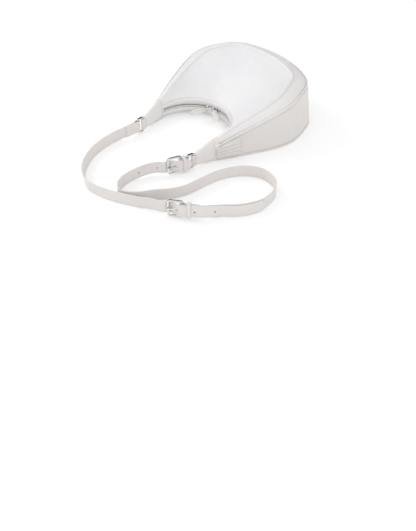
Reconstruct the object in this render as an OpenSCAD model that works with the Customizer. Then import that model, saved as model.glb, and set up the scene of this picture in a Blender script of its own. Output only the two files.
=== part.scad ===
// Half moon shoulder bag lying on its back, with its two-piece buckled strap laid out on the floor.
// +Z is up, +Y points to the deep bottom edge and the two horns point to -Y.
// The origin is on the floor, in the middle of the back panel.

/* [Bag] */
// Overall width of the bag
bag_w = 236; // [180:1:300]
// Back panel, from the mouth to the bottom edge, on the middle line
panel_l = 148; // [124:1:180]
// Whole body, from the horn ends to the bottom edge
body_l = 225; // [186:1:250]
// Width of a horn at its end, from the front seam to the mouth
horn_w = 19; // [17:0.5:24]
// Height of the front seam above the floor, at the bottom edge
body_h = 80; // [50:1:100]
// Height of the front seam at the horn ends
horn_h = 26; // [24:0.5:32]
// How far the front seam stands back from the bottom edge
front_setback = 15; // [0:1:30]
// Width of the band between the front seam and the ridge
band_w = 26; // [16:1:34]
// Width of that band at the horn ends
horn_band_w = 9; // [8:0.5:11]
// Height of the ridge above the front seam
ridge_rise = 7; // [3:0.5:10]
// Crown of the front field
field_crown = 5; // [0:0.5:10]

/* [Leather] */
// Thickness of the panels
wall = 2; // [1.4:0.1:2.6]
// Diameter of the piping in the seams
welt_d = 2.6; // [1.8:0.1:3.2]
// Width of the padded ridge
ridge_w = 4; // [3:0.1:5]
// Height of the padded ridge
ridge_h = 1.6; // [0.8:0.1:2.4]
// Thickness of the lining
lining_t = 0.8; // [0.5:0.1:1.2]
// Thickness of the stiffener board in the gusset
board_t = 1; // [0.6:0.1:1.4]
// Length of the stitched patch at each end of the gusset
patch_l = 36; // [20:1:50]
// Thickness of that patch
patch_t = 1.2; // [0.8:0.1:1.6]

/* [Zip] */
// Radius of the curved mouth
mouth_r = 66; // [56:1:76]
// How far the mouth's ends stand short of the horn ends
mouth_short = 1.8; // [1:0.1:6]
// Distance along the mouth from its ends to the first and last tooth
zip_short = 9.2; // [8:0.1:20]
// Height of the front edge of the mouth
mouth_h = 28; // [26:0.5:34]
// Height of the front edge of the mouth at the horn ends
horn_mouth_h = 25.5; // [25:0.5:28]
// Height of the back edge of the mouth
mouth_back_h = 8; // [6:0.5:9]
// Height of the zip line above the floor
zip_z = 17.5; // [17:0.1:18.5]
// Gap between the two facings that show the zip
zip_window = 9.6; // [9.2:0.1:10]
// Thickness of the facings
facing_t = 1.6; // [1:0.1:2]
// Width of the closed zip tapes
tape_w = 15; // [12:0.5:16]
// Length of each zip slider
slider_l = 10; // [8:0.5:11]
// Place of the right slider, as an angle round the mouth
slider_right_deg = 104; // [40:0.1:104]
// Gap between the two sliders
slider_gap = 1.3; // [1.2:0.1:20]
// Length of the leather pull tags
tag_l = 24; // [16:1:30]

/* [Strap] */
// Width of the strap
strap_w = 20; // [16:0.5:22]
// Thickness of the strap
strap_t = 2; // [1.4:0.1:2.4]
// Scale of the route that the strap takes over the floor
lay = 100; // [98:0.5:104]
// Length of the left horn cap up to the bar of its ring
cap_left_l = 48; // [34:1:54]
// Length of the right horn cap up to the bar of its ring
cap_right_l = 40; // [30:1:48]
// Height of a ring, between the middles of its rails
ring_h = 24.6; // [24.6:0.2:28]
// Distance between the two bars of a ring
ring_l = 12; // [11:0.5:16]
// Wire of the rings and buckles
wire_d = 3.6; // [2.8:0.1:4]
// Height of a buckle, between the middles of its rails
buckle_h = 27; // [26:0.5:30]
// Distance between the two bars of a buckle
buckle_l = 20.5; // [19:0.5:24]
// Distance from the right ring to the pivot bar of the side buckle
tab_l = 10; // [10:0.5:16]
// Length of the sewn end of the strap behind the ring and buckle
sewn_l = 26; // [20:1:34]
// Width of the keepers
keeper_w = 5.5; // [4:0.5:6]
// Length of the strap's tail past the front buckle
tail_l = 118; // [60:1:130]
// Diameter of the holes in the strap
hole_d = 2.4; // [1.6:0.1:3]
// Distance between the holes in the strap
hole_pitch = 30; // [20:1:34]

/* [Hidden] */

// Gaps: between sewn pieces, round turning pieces and past every cut
seam_gap = 0.2;
turn_gap = 0.3;
pin_gap = 0.08;
floor_gap = 0.3;
cut_over = 1;

bottom_y = panel_l / 2;
horn_y = bottom_y - body_l;
mouth_cy = -panel_l / 2 - mouth_r;
// Angle by which each end of the mouth runs past the half circle
mouth_wrap = asin((mouth_cy - horn_y - mouth_short) / mouth_r);
horn_share = (mouth_r * cos(mouth_wrap) + horn_w) / (bag_w / 2);
// Half of the outline, from a horn end to the middle of the bottom edge:
// shares of half the width and of the length from the horn end
outline_shares = [[horn_share, 0], [0.893, 0.259], [0.998, 0.453], [1, 0.619],
                  [0.883, 0.776], [0.648, 0.918], [0, 1]];
last = len(outline_shares) - 1;
full_shares = concat(outline_shares,
    [for (i = [last - 1:-1:0]) [-outline_shares[i][0], outline_shares[i][1]]]);
// How quickly the bag fills out from the horn ends to its middle
fill_power = 3.5;
stations = 48;
// The body's sections run from the right horn end (s = 0) by the bottom edge (s = 1) to the left
left_end = 2;
welt_proud = 0.6;
gusset_bulge = 1;
lining_gap = 0.4;
back_flat_share = 0.62;
end_step = 0.01;

leather = "whitesmoke";
metal = "silver";
cloth = "gainsboro";

// Smooth curve through a list of points, at t from 0 to the last index
function curve_at(p, t) =
    let (n = len(p) - 1, i = max(0, min(floor(t), n - 1)), u = t - i,
         a = i > 0 ? p[i - 1] : 2 * p[0] - p[1], b = p[i], c = p[i + 1],
         d = i + 2 <= n ? p[i + 2] : 2 * p[n] - p[n - 1])
    0.5 * (2 * b + (c - a) * u + (2 * a - 5 * b + 4 * c - d) * u * u + (3 * b - a - 3 * c + d) * u * u * u);

function edge_xy(s, run) =
    let (p = curve_at(full_shares, s * last)) [p[0] * bag_w / 2, horn_y + p[1] * run];
function base_xy(s) = edge_xy(s, body_l);
function seam_xy(s) = edge_xy(s, body_l - front_setback);
function inward(s) =
    let (a = seam_xy(max(s - end_step, 0)), b = seam_xy(min(s + end_step, left_end)),
         d = (b - a) / norm(b - a))
    [-d[1], d[0]];
function fill(s) = 1 - pow(abs(1 - s), fill_power);
function from_horn(low, high, s) = low + (high - low) * fill(s);
function seam_h(s) = from_horn(horn_h, body_h, s);
function band(s) = from_horn(horn_band_w, band_w, s);
function front_mouth_h(s) = from_horn(horn_mouth_h, mouth_h, s);
function mouth_deg(s) = -mouth_wrap + s * (90 + mouth_wrap);
function mouth_xy(s, out) =
    [0, mouth_cy] + (mouth_r + out) * [cos(mouth_deg(s)), sin(mouth_deg(s))];
function at(xy, z) = [xy[0], xy[1], z];
function mix(a, b, t) = a + (b - a) * t;
// The steps of a run of sections from s = a to s = b
function steps(a, b, n) = [for (i = [0:n]) a + (b - a) * i / n];
all_steps = steps(0, left_end, stations);

// Closed skin between an outer and an inner grid of points
module shell(outer, inner) {
    m = len(outer);
    n = len(outer[0]);
    count = m * n;
    points = concat([for (row = outer) each row], [for (row = inner) each row]);
    skins = [for (i = [0:m - 2], j = [0:n - 2])
        let (a = i * n + j, b = a + 1, c = a + n + 1, d = a + n)
        each [[a, c, b], [a, d, c], [a + count, b + count, c + count], [a + count, c + count, d + count]]];
    sides = [for (i = [0:m - 2])
        let (a = i * n, d = a + n, b = a + n - 1, c = d + n - 1)
        each [[a, a + count, d + count], [a, d + count, d], [b, c + count, b + count], [b, c, c + count]]];
    last_row = (m - 1) * n;
    ends = [for (j = [0:n - 2])
        let (a = j, b = j + 1, c = last_row + j, d = c + 1)
        each [[a, b, b + count], [a, b + count, a + count], [c, d + count, d], [c, c + count, d + count]]];
    polyhedron(points, concat(skins, sides, ends));
}

// Solid through a run of sections with equal point counts, closed by fans at both ends
module loft(rings) {
    m = len(rings);
    n = len(rings[0]);
    points = [for (ring = rings) each ring];
    sides = [for (i = [0:m - 2], j = [0:n - 1])
        let (a = i * n + j, b = i * n + (j + 1) % n, c = b + n, d = a + n)
        each [[a, c, b], [a, d, c]]];
    first_cap = [for (j = [1:n - 2]) [0, j, j + 1]];
    end_cap = [for (j = [1:n - 2]) [(m - 1) * n, (m - 1) * n + j + 1, (m - 1) * n + j]];
    polyhedron(points, concat(sides, first_cap, end_cap));
}

// Panels

// Underside of the back panel: flat on the floor, then lifting to the mouth
function back_at(s, t) =
    let (edge = base_xy(s) + inward(s) * welt_d, mouth = mouth_xy(s, facing_t + seam_gap),
         up = t < back_flat_share ? 0 : (t - back_flat_share) / (1 - back_flat_share))
    at(mix(edge, mouth, t), mouth_back_h * up * up);
// How near the lining follows the rims of the field and of the back panel
rim_share = 0.08;
back_columns = [0, back_flat_share / 2, back_flat_share, mix(back_flat_share, 1, 1 / 2), 1 - rim_share, 1];

module back_panel() {
    color(leather)
    shell([for (s = all_steps) [for (t = back_columns) back_at(s, t)]],
          [for (s = all_steps) [for (t = back_columns) back_at(s, t) + at([0, 0], wall)]]);
}

function gusset_at(s, t, deep) =
    let (low = at(base_xy(s), floor_gap + welt_d + seam_gap),
         high = at(seam_xy(s), seam_h(s) - welt_d - seam_gap))
    mix(low, high, t) - at(inward(s), 0) * (gusset_bulge * 4 * t * (1 - t) * fill(s) - deep);
gusset_columns = [0, 1 / 4, 1 / 2, 3 / 4, 1];

module gusset() {
    color(leather)
    shell([for (s = all_steps) [for (t = gusset_columns) gusset_at(s, t, wall)]],
          [for (s = all_steps) [for (t = gusset_columns) gusset_at(s, t, 0)]]);
}

// Stiffener board behind the gusset, along the bottom edge
board_span_share = 0.42;
board_inset_share = 0.08;
board_gap = 0.5;
module gusset_board() {
    board_steps = steps(1 - board_span_share, 1 + board_span_share, stations / 3);
    board_columns = [board_inset_share, 1 / 2, 1 - board_inset_share];
    color(cloth)
    shell([for (s = board_steps) [for (t = board_columns) gusset_at(s, t, wall + board_gap + board_t)]],
          [for (s = board_steps) [for (t = board_columns) gusset_at(s, t, wall + board_gap)]]);
}

// Stitched patch that covers each end of the gusset
patch_span = patch_l / body_l;
patch_columns = [board_inset_share, 1 / 2, 1 - board_inset_share];
module gusset_patch(from, to) {
    patch_steps = steps(from, to, 8);
    color(leather)
    shell([for (s = patch_steps) [for (t = patch_columns) gusset_at(s, t, -seam_gap)]],
          [for (s = patch_steps) [for (t = patch_columns) gusset_at(s, t, -seam_gap - patch_t)]]);
}

// Top side of the band that slopes up from the front seam to the ridge
band_shoulder_share = 0.62;
band_columns = [0, 1 / 3, 2 / 3, 1];
function band_at(s, t) =
    let (from = welt_d, to = band(s) - ridge_w / 2 - seam_gap,
         lift = mix(t, 1 - (1 - t) * (1 - t), band_shoulder_share))
    at(seam_xy(s) + inward(s) * mix(from, to, t), seam_h(s) + ridge_rise * lift);

module front_band() {
    color(leather)
    shell([for (s = all_steps) [for (t = band_columns) band_at(s, t) - at([0, 0], wall)]],
          [for (s = all_steps) [for (t = band_columns) band_at(s, t)]]);
}

// Padded ridge between the band and the field
ridge_angles = [180, 150, 120, 90, 60, 30, 0];
module front_ridge() {
    color(leather)
    loft([for (s = all_steps)
        let (mid = seam_xy(s) + inward(s) * band(s), half = inward(s) * ridge_w / 2,
             base_z = seam_h(s) + ridge_rise)
        concat([for (a = ridge_angles) at(mid - half * cos(a), base_z + ridge_h * sin(a))],
               [at(mid - half, base_z - wall), at(mid + half, base_z - wall)])]);
}

// Top side of the field, from the ridge down to the mouth
field_columns = [0, rim_share, 1 / 4, 1 / 2, 3 / 4, 1 - rim_share, 1];
function field_at(s, t) =
    let (start = seam_xy(s) + inward(s) * (band(s) + ridge_w / 2 + seam_gap),
         stop = mouth_xy(s, facing_t + seam_gap),
         crown = field_crown * fill(s) * 4 * t * (1 - t))
    at(mix(start, stop, t), mix(seam_h(s) + ridge_rise, front_mouth_h(s), t) + crown);

module front_field() {
    color(leather)
    shell([for (s = all_steps) [for (t = field_columns) field_at(s, t) - at([0, 0], wall)]],
          [for (s = all_steps) [for (t = field_columns) field_at(s, t)]]);
}

// Piping round a seam: an eight-sided cord
module welt(places) {
    color(leather)
    loft([for (k = places) [for (a = [0:45:315])
        k[0] + welt_d / 2 * (at(k[1], 0) * cos(a) + [0, 0, sin(a)])]]);
}

module front_welt() {
    welt([for (s = all_steps)
        [at(seam_xy(s) + inward(s) * (welt_d / 2 - welt_proud), seam_h(s) - welt_d / 2), -inward(s)]]);
}

module back_welt() {
    welt([for (s = all_steps)
        [at(base_xy(s) + inward(s) * (welt_d / 2 - welt_proud), floor_gap + welt_d / 2), -inward(s)]]);
}

// Zip

// Strip that stands on the mouth's curve from radius offset a to b and from height low to high
module mouth_strip(a, b, lows, highs) {
    function side(out) =
        [for (i = [0:stations]) let (xy = mouth_xy(all_steps[i], out)) [at(xy, lows[i]), at(xy, highs[i])]];
    shell(side(a), side(b));
}
function same(z) = [for (s = all_steps) z];

module front_facing() {
    color(leather)
    mouth_strip(facing_t, 0, same(zip_z + zip_window / 2), [for (s = all_steps) front_mouth_h(s)]);
}

module back_facing() {
    color(leather)
    mouth_strip(facing_t, 0, same(mouth_back_h), same(zip_z - zip_window / 2));
}

// A tooth is a clip that closes round the edge of its tape
tooth_gap = 1.8;
tooth_w = 2.5;
tooth_wall = 0.7;
tooth_head = 0.8;
tooth_t = 1.3;
tooth_pitch = 2.5;
tape_t = 0.6;
tape_in = facing_t + 0.4;
tooth_in = tape_in - seam_gap / 2 - tooth_wall;
tooth_out = tape_in + tape_t + seam_gap / 2 + tooth_wall;
tape_edge = tooth_gap / 2 + tooth_head + seam_gap / 2;
zip_from = zip_short / mouth_r * 180 / PI - mouth_wrap;
zip_to = 180 - zip_from;

module zip_tape_front() {
    under_field = wall + lining_gap + lining_t + seam_gap;
    color(cloth)
    mouth_strip(tape_in + tape_t, tape_in, same(zip_z + tape_edge),
        [for (s = all_steps) min(zip_z + tape_w / 2, front_mouth_h(s) - under_field)]);
}

module zip_tape_back() {
    color(cloth)
    mouth_strip(tape_in + tape_t, tape_in, same(max(zip_z - tape_w / 2, mouth_back_h + wall + seam_gap)),
        same(zip_z - tape_edge));
}

// Carries its children, drawn with +X outward from the mouth's centre and Y along the zip, to an angle
module on_zip(deg) {
    translate([0, mouth_cy, zip_z]) rotate([0, 0, deg]) translate([mouth_r, 0, 0]) children();
}

module tooth() {
    head = tooth_gap / 2;
    profile = [[tooth_in, head], [tooth_out, head], [tooth_out, head + tooth_w],
               [tooth_out - tooth_wall, head + tooth_w], [tooth_out - tooth_wall, head + tooth_head],
               [tooth_in + tooth_wall, head + tooth_head], [tooth_in + tooth_wall, head + tooth_w],
               [tooth_in, head + tooth_w]];
    translate([0, tooth_t / 2, 0]) rotate([90, 0, 0]) linear_extrude(tooth_t) polygon(profile);
}

module zip_teeth() {
    pitch_deg = tooth_pitch / (mouth_r + tape_in) * 180 / PI;
    color(metal)
    for (deg = [zip_from:pitch_deg:zip_to]) {
        on_zip(deg) tooth();
        if (deg + pitch_deg / 2 < zip_to) on_zip(deg + pitch_deg / 2) mirror([0, 0, 1]) tooth();
    }
}

stop_l = 2.4;
module zip_stops() {
    stop_deg = stop_l / mouth_r * 180 / PI;
    stop_h = 2 * (tape_edge - seam_gap);
    color(metal)
    for (deg = [zip_from - stop_deg, zip_to + stop_deg])
        on_zip(deg) translate([tooth_in, -stop_l / 2, -stop_h / 2])
            cube([tooth_out - tooth_in, stop_l, stop_h]);
}

// Slider: two plates that hold the teeth between them, a wedge that joins the plates, and a bridge
plate_t = 1.1;
slider_w = 8.2;
slider_nose_w = 5.6;
flange_t = 0.6;
wedge_l = 2.6;
wedge_t = 1.1;
bridge_l = 6.6;
bridge_w = 2.2;
bridge_h = 2.9;
bridge_t = 0.9;
slider_left_deg = slider_right_deg + (slider_l + slider_gap) / mouth_r * 180 / PI;
plate_face = tooth_in - 2 * turn_gap;
inner_face = tooth_out + turn_gap;

// A plate is curved about the middle of the mouth, so that the slider runs along the bent zip
module slider_plate(from) {
    outline = [[-slider_l / 2, -slider_nose_w / 2], [-slider_l / 4, -slider_w / 2],
               [slider_l / 2, -slider_w / 2], [slider_l / 2, slider_w / 2],
               [-slider_l / 4, slider_w / 2], [-slider_l / 2, slider_nose_w / 2]];
    intersection() {
        translate([from - plate_t, 0, 0]) rotate([90, 0, 90]) linear_extrude(3 * plate_t) polygon(outline);
        translate([-mouth_r, 0, -slider_w]) difference() {
            cylinder(h = 2 * slider_w, r = mouth_r + from + plate_t, $fn = 180);
            translate([0, 0, -cut_over])
                cylinder(h = 2 * (slider_w + cut_over), r = mouth_r + from, $fn = 180);
        }
    }
}

module zip_slider() {
    flange_in = tape_in - turn_gap - plate_face;
    slider_plate(plate_face - plate_t);
    slider_plate(inner_face);
    for (side = [-1, 1])
        translate([plate_face - plate_t, -slider_l / 4, side > 0 ? slider_w / 2 - flange_t : -slider_w / 2])
            cube([plate_t + flange_in, slider_l * 3 / 4, flange_t]);
    translate([plate_face - plate_t, slider_l / 2 - wedge_l, -wedge_t / 2])
        cube([inner_face - plate_face + 2 * plate_t, wedge_l, wedge_t]);
    // The bridge that the pull hangs from
    translate([plate_face - plate_t, 0, 0]) rotate([90, 0, 0]) translate([0, 0, -bridge_l / 2])
        difference() {
            translate([-bridge_h, -bridge_w / 2, 0]) cube([bridge_h + plate_t / 2, bridge_w, bridge_l]);
            translate([bridge_t - bridge_h, -bridge_w / 2 - cut_over, bridge_t])
                cube([bridge_h - bridge_t, bridge_w + 2 * cut_over, bridge_l - 2 * bridge_t]);
        }
}

module zip_slider_left() { color(metal) on_zip(slider_left_deg) zip_slider(); }
module zip_slider_right() { color(metal) on_zip(slider_right_deg) mirror([0, 1, 0]) zip_slider(); }

// Wire pull: a bar under the bridge, two arms beside it and a bar that carries the tag
pull_wire = 1.2;
pull_l = 9;
pull_w = 6;
pull_bar_r = 0.7;
pull_x = plate_face - plate_t - (bridge_h - bridge_t) / 2;
pull_left_turn = -15;
pull_right_turn = 15;
tag_left_turn = -20;
tag_right_turn = 50;
tag_w = 9;
tag_t = 2;
tag_loop_h = pull_w - pull_wire - 2 * turn_gap;
tag_loop_r = pull_bar_r + pin_gap + tag_t / 2;

module on_pull(deg, turn) { on_zip(deg) translate([pull_x, 0, 0]) rotate([0, 0, turn]) children(); }

module zip_pull() {
    translate([0, 0, -pull_w / 2]) cylinder(h = pull_w, d = pull_wire, $fn = 20);
    translate([-pull_l, 0, -pull_w / 2]) cylinder(h = pull_w, r = pull_bar_r, $fn = 20);
    for (side = [-1, 1]) translate([0, 0, side * pull_w / 2]) {
        rotate([0, -90, 0]) cylinder(h = pull_l, d = pull_wire, $fn = 20);
        sphere(d = pull_wire, $fn = 20);
        translate([-pull_l, 0, 0]) sphere(r = pull_bar_r, $fn = 20);
    }
}

module pull_tag(turn) {
    translate([-pull_l, 0, 0]) rotate([0, 0, turn]) {
        difference() {
            union() {
                translate([0, 0, -tag_loop_h / 2]) cylinder(h = tag_loop_h, r = tag_loop_r, $fn = 32);
                translate([-tag_loop_r - pull_wire, -tag_t / 2, -tag_loop_h / 2])
                    cube([tag_loop_r + pull_wire, tag_t, tag_loop_h]);
            }
            translate([0, 0, -tag_w]) cylinder(h = 2 * tag_w, r = pull_bar_r + pin_gap, $fn = 32);
        }
        translate([-tag_loop_r - pull_wire, tag_t / 2, 0]) rotate([90, 0, 0]) linear_extrude(tag_t) {
            translate([-tag_l + tag_w / 2, -tag_w / 2]) square([tag_l - tag_w / 2, tag_w]);
            translate([-tag_l + tag_w / 2, 0]) circle(d = tag_w, $fn = 40);
        }
    }
}

module zip_pull_left() { color(metal) on_pull(slider_left_deg, pull_left_turn) zip_pull(); }
module zip_pull_right() { color(metal) on_pull(slider_right_deg, pull_right_turn) zip_pull(); }
module pull_tag_left() {
    color(leather) on_pull(slider_left_deg, pull_left_turn) pull_tag(tag_left_turn);
}
module pull_tag_right() {
    color(leather) on_pull(slider_right_deg, pull_right_turn) pull_tag(tag_right_turn);
}

// Lining: one thin skin from the front edge of the mouth, round the inside, to the back edge
lining_in = tooth_out + 2 * turn_gap;
lining_edge = slider_w / 2 + 2 * turn_gap + lining_t;
function lining_at(s, deep) =
    let (d = lining_gap + deep, side = wall + board_gap + board_t + d, n = inward(s))
    [at(mouth_xy(s, lining_in + deep), zip_z + lining_edge),
     field_at(s, 1 - rim_share) - at([0, 0], wall + d),
     field_at(s, 1 / 2) - at([0, 0], wall + d),
     field_at(s, rim_share) - at([0, 0], wall + d),
     at(seam_xy(s) + n * side, seam_h(s) - wall - d),
     at(mix(base_xy(s), seam_xy(s), 1 / 2) + n * side, seam_h(s) / 2),
     at(base_xy(s) + n * side, wall + d),
     back_at(s, 1 / 2) + at([0, 0], wall + d),
     back_at(s, 1 - rim_share) + at([0, 0], wall + d),
     at(mouth_xy(s, lining_in + deep), zip_z - lining_edge)];

module lining() {
    color(cloth)
    shell([for (s = all_steps) lining_at(s, lining_t)], [for (s = all_steps) lining_at(s, 0)]);
}

// Horn caps, rings and strap

// Places of the ring bars. The left cap turns inward and the right one runs straight.
function unit(v) = v / norm(v);
left_cap_dir = unit([0.38, -0.93]);
right_cap_dir = unit([0.08, -1]);
ring_z = (ring_h + wire_d) / 2 + floor_gap;
buckle_z = (buckle_h + wire_d) / 2 + floor_gap;
horn_mid = mix(seam_xy(0), mouth_xy(0, 0), 1 / 2);
left_bar = [-horn_mid[0], horn_mid[1]] + cap_left_l * left_cap_dir;
right_bar = horn_mid + cap_right_l * right_cap_dir;
left_ring_dir = unit([0.12, -0.99]);
right_ring_dir = unit([-0.03, -1]);
left_strap_bar = left_bar + ring_l * left_ring_dir;
right_strap_bar = right_bar + ring_l * right_ring_dir;
side_dir = unit([-0.25, -0.97]);
side_pivot = right_strap_bar + tab_l * side_dir;
front_pivot = [1.67, -2.74] * lay;
front_dir = unit([-0.71, -0.70]);

// Wire frame with two upright bars, standing on its lower rail: the first bar at the origin,
// the second at -X
frame_corner = 2.6;
module wire_frame(long, high) {
    for (x = [0, -long]) translate([x, 0, frame_corner - high / 2])
        cylinder(h = high - 2 * frame_corner, d = wire_d, $fn = 32);
    for (z = [-high / 2, high / 2]) translate([-frame_corner, 0, z]) rotate([0, -90, 0])
        cylinder(h = long - 2 * frame_corner, d = wire_d, $fn = 32);
    for (x = [0, 1], z = [0, 1])
        translate([x ? frame_corner - long : -frame_corner, 0, (z ? 1 : -1) * (high / 2 - frame_corner)])
            rotate([90, z ? (x ? 180 : 270) : (x ? 90 : 0), 0]) mirror([0, 0, 1])
                rotate([0, 0, -90]) rotate_extrude(angle = 90, $fn = 32)
                    translate([frame_corner, 0]) circle(d = wire_d, $fn = 32);
}

function heading(d) = atan2(d[1], d[0]);
// Carries its children, drawn from a bar with +X away from the frame and +Y outward, to the bar
module placed(spot, z, dir) {
    translate(at(spot, z)) rotate([0, 0, heading(-dir)]) mirror([0, 1, 0]) children();
}

module ring_left() { color(metal) placed(left_bar, ring_z, left_ring_dir) wire_frame(ring_l, ring_h); }
module ring_right() { color(metal) placed(right_bar, ring_z, right_ring_dir) wire_frame(ring_l, ring_h); }
module buckle_frame(pivot, dir) { color(metal) placed(pivot, buckle_z, dir) wire_frame(buckle_l, buckle_h); }
module side_buckle_frame() { buckle_frame(side_pivot, side_dir); }
module front_buckle_frame() { buckle_frame(front_pivot, front_dir); }

// Prong: an eye on the pivot bar and a shank that lies over the far bar
prong_d = 2.2;
prong_h = 2.6;
prong_eye_r = wire_d / 2 + pin_gap + 1.2;
prong_tip = 1.6;
prong_y = wire_d / 2 + turn_gap + prong_d / 2;
prong_tilt = atan(prong_y / buckle_l);
module prong() {
    difference() {
        union() {
            translate([0, 0, -prong_h / 2]) cylinder(h = prong_h, r = prong_eye_r, $fn = 40);
            rotate([0, 0, -prong_tilt]) {
                rotate([0, -90, 0]) cylinder(h = buckle_l + prong_tip, d = prong_d, $fn = 32);
                translate([-buckle_l - prong_tip, 0, 0]) sphere(d = prong_d, $fn = 32);
            }
        }
        translate([0, 0, -prong_h]) cylinder(h = 2 * prong_h, r = wire_d / 2 + pin_gap, $fn = 40);
    }
}
// The side buckle's leather and prong lie at the height of the ring beside it
module side_buckle_prong() { color(metal) placed(side_pivot, ring_z, side_dir) prong(); }
module front_buckle_prong() { color(metal) placed(front_pivot, buckle_z, front_dir) prong(); }

// Routes: lists of [x, y, height of the lower edge]. A local point is given from a bar, with
// X away from the frame, along the piece that leaves the bar, and Y outward.
function place_of(spot, dir, p) = spot - p[0] * dir + p[1] * [-dir[1], dir[0]];
function local(spot, dir, z, list) = [for (p = list) at(place_of(spot, dir, p), z)];
turn_angles = [90, 60, 30, 0, -30, -60, -90];
// A short loop hugs its bar further round
hug_angles = concat([120], turn_angles, [-120]);
function turn_round(r, angles = turn_angles) = [for (a = angles) [-r * cos(a), r * sin(a)]];
function reversed(list) = [for (i = [len(list) - 1:-1:0]) list[i]];
function from_index(list, k) = [for (i = [k:len(list) - 1]) list[i]];
function raised(p) = [p[0], p[1], max(p[2], 0)];
function smooth(list, n) = [for (i = [0:(len(list) - 1) * n]) raised(curve_at(list, i / n))];
function run_of(route, i) = i < 1 ? 0 : run_of(route, i - 1) + norm(route[i] - route[i - 1]);
// The place and side direction at a run along a route
function walk(route, run, i = 0) =
    let (step = norm(route[i + 1] - route[i]))
    run <= step || i + 2 >= len(route)
        ? [mix(route[i], route[i + 1], run / step), side_of(route, i)]
        : walk(route, run - step, i + 1);

// Side direction of a route at a station, to the right of its run
function side_of(route, i) =
    let (a = route[max(i - 1, 0)], b = route[min(i + 1, len(route) - 1)])
    unit([b[1] - a[1], a[0] - b[0]]);

// Upright ribbon along a route
module ribbon(route) {
    loft([for (i = [0:len(route) - 1])
        let (side = at(side_of(route, i), 0) * strap_t / 2, p = route[i], up = [0, 0, strap_w])
        [p + side, p + side + up, p - side + up, p - side]]);
}

half_pair = (strap_t + seam_gap) / 2;
ring_play = 0.7;
loop_r = wire_d / 2 + turn_gap + strap_t / 2;
ring_loop_r = wire_d / 2 + ring_play + strap_t / 2;
loop_run = 2 * strap_t + wire_d;
cap_run = wire_d / 2 + strap_t + turn_gap;
ring_lift = ring_z - strap_w / 2;
buckle_lift = buckle_z - strap_w / 2;

// Loop of leather from a cap round the first bar of its ring
square_share = 0.4;
module cap_loop(spot, dir) {
    square_run = cap_run - square_share * strap_t;
    color(leather)
    ribbon(local(spot, dir, ring_lift,
        concat([[cap_run, half_pair], [square_run, half_pair]], turn_round(loop_r, hug_angles),
               [[square_run, -half_pair], [cap_run, -half_pair]])));
}
module cap_loop_left() { cap_loop(left_bar, left_cap_dir); }
module cap_loop_right() { cap_loop(right_bar, right_cap_dir); }

// Horn cap: from the horn's end section, a little proud of it, to a flat end at the loop
cap_proud = 0.8;
cap_end_t = 6;
cap_rings = 6;
cap_rise_share = 2 / 3;
// Twelve corners of the horn's end section, from the floor round the outside to the mouth
function horn_ring() =
    let (o = seam_xy(0), m = mouth_xy(0, 0), b = base_xy(0),
         r = mix(o, m, band(0) / norm(o - m)), top = seam_h(0) + ridge_rise + cap_proud)
    [at(mix(b, m, 1 / 8), floor_gap), at(b, welt_d), at(o, seam_h(0) / 2), at(o, seam_h(0) - welt_d / 2),
     at(mix(o, r, 1 / 2), mix(seam_h(0), top, cap_rise_share)), at(r, top),
     at(mix(r, m, 1 / 2), mix(top, front_mouth_h(0), 1 / 2)), at(m, front_mouth_h(0) - cap_proud),
     at(m, zip_z), at(m, mouth_back_h + cap_proud), at(mix(m, b, 1 / 3), mouth_back_h / 3),
     at(mix(m, b, cap_rise_share), floor_gap)];
// The same twelve corners on the flat end: shares of half the thickness and of half the width
cap_end_shares = [[0.5, -1], [1, -0.85], [1, -0.3], [1, 0.3], [1, 0.85], [0.5, 1],
                  [-0.5, 1], [-1, 0.85], [-1, 0.3], [-1, -0.3], [-1, -0.85], [-0.5, -1]];
cap_ease_share = 0.6;
// How far the ridge and the mouth's edge reach past the straight line across the horn's end
function end_reach(dir) =
    let (o = seam_xy(0), across = mouth_xy(0, 0) - o)
    max([for (p = [o, o + inward(0) * (band(0) + ridge_w / 2), mouth_xy(0, facing_t + seam_gap)])
        cross(p - o, across) / cross(dir, across)]);
module horn_cap(bar, dir) {
    out = [-dir[1], dir[0]];
    finish = bar - dir * (cap_run + seam_gap);
    start = [for (p = horn_ring()) p + at(dir, 0) * (seam_gap + end_reach(dir))];
    stop = [for (k = cap_end_shares)
        at(finish + out * k[0] * cap_end_t / 2, ring_z + k[1] * strap_w / 2)];
    color(leather)
    loft([for (i = [0:cap_rings])
        let (t = i / cap_rings, eased = mix(t, t * t * (3 - 2 * t), cap_ease_share))
        [for (j = [0:len(start) - 1]) mix(start[j], stop[j], eased)]]);
}
module horn_cap_right() { horn_cap(right_bar, right_cap_dir); }
module horn_cap_left() {
    mirror([1, 0, 0]) horn_cap([-left_bar[0], left_bar[1]], [-left_cap_dir[0], left_cap_dir[1]]);
}

// Slot through a loop for the eye of the prong
prong_slot = prong_h + 2 * turn_gap;
module eye_slot(spot, z, dir) {
    reach = loop_r + strap_t;
    placed(spot, z, dir) translate([-reach, -reach, -prong_slot / 2])
        cube([reach + prong_eye_r + turn_gap, 2 * reach, prong_slot]);
}

// Buckle tab: a band that goes round the ring's second bar and the pivot bar of the side buckle.
// Its ends meet in the middle of the outer side, where the two sides are sewn together.
tab_flat_share = 0.15;
module buckle_tab() {
    pinch = half_pair + turn_gap;
    near = tab_l * (1 / 2 - tab_flat_share);
    far = tab_l * (1 / 2 + tab_flat_share);
    ring_turn = [for (p = turn_round(ring_loop_r, hug_angles)) [tab_l - p[0], -p[1]]];
    route = concat([[tab_l / 2, pinch], [near, pinch]], turn_round(loop_r, hug_angles),
                   [[near, -pinch], [far, -pinch]], ring_turn, [[far, pinch], [tab_l / 2 + seam_gap, pinch]]);
    color(leather)
    difference() {
        ribbon(local(side_pivot, side_dir, ring_lift, route));
        eye_slot(side_pivot, ring_z, side_dir);
    }
}

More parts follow.
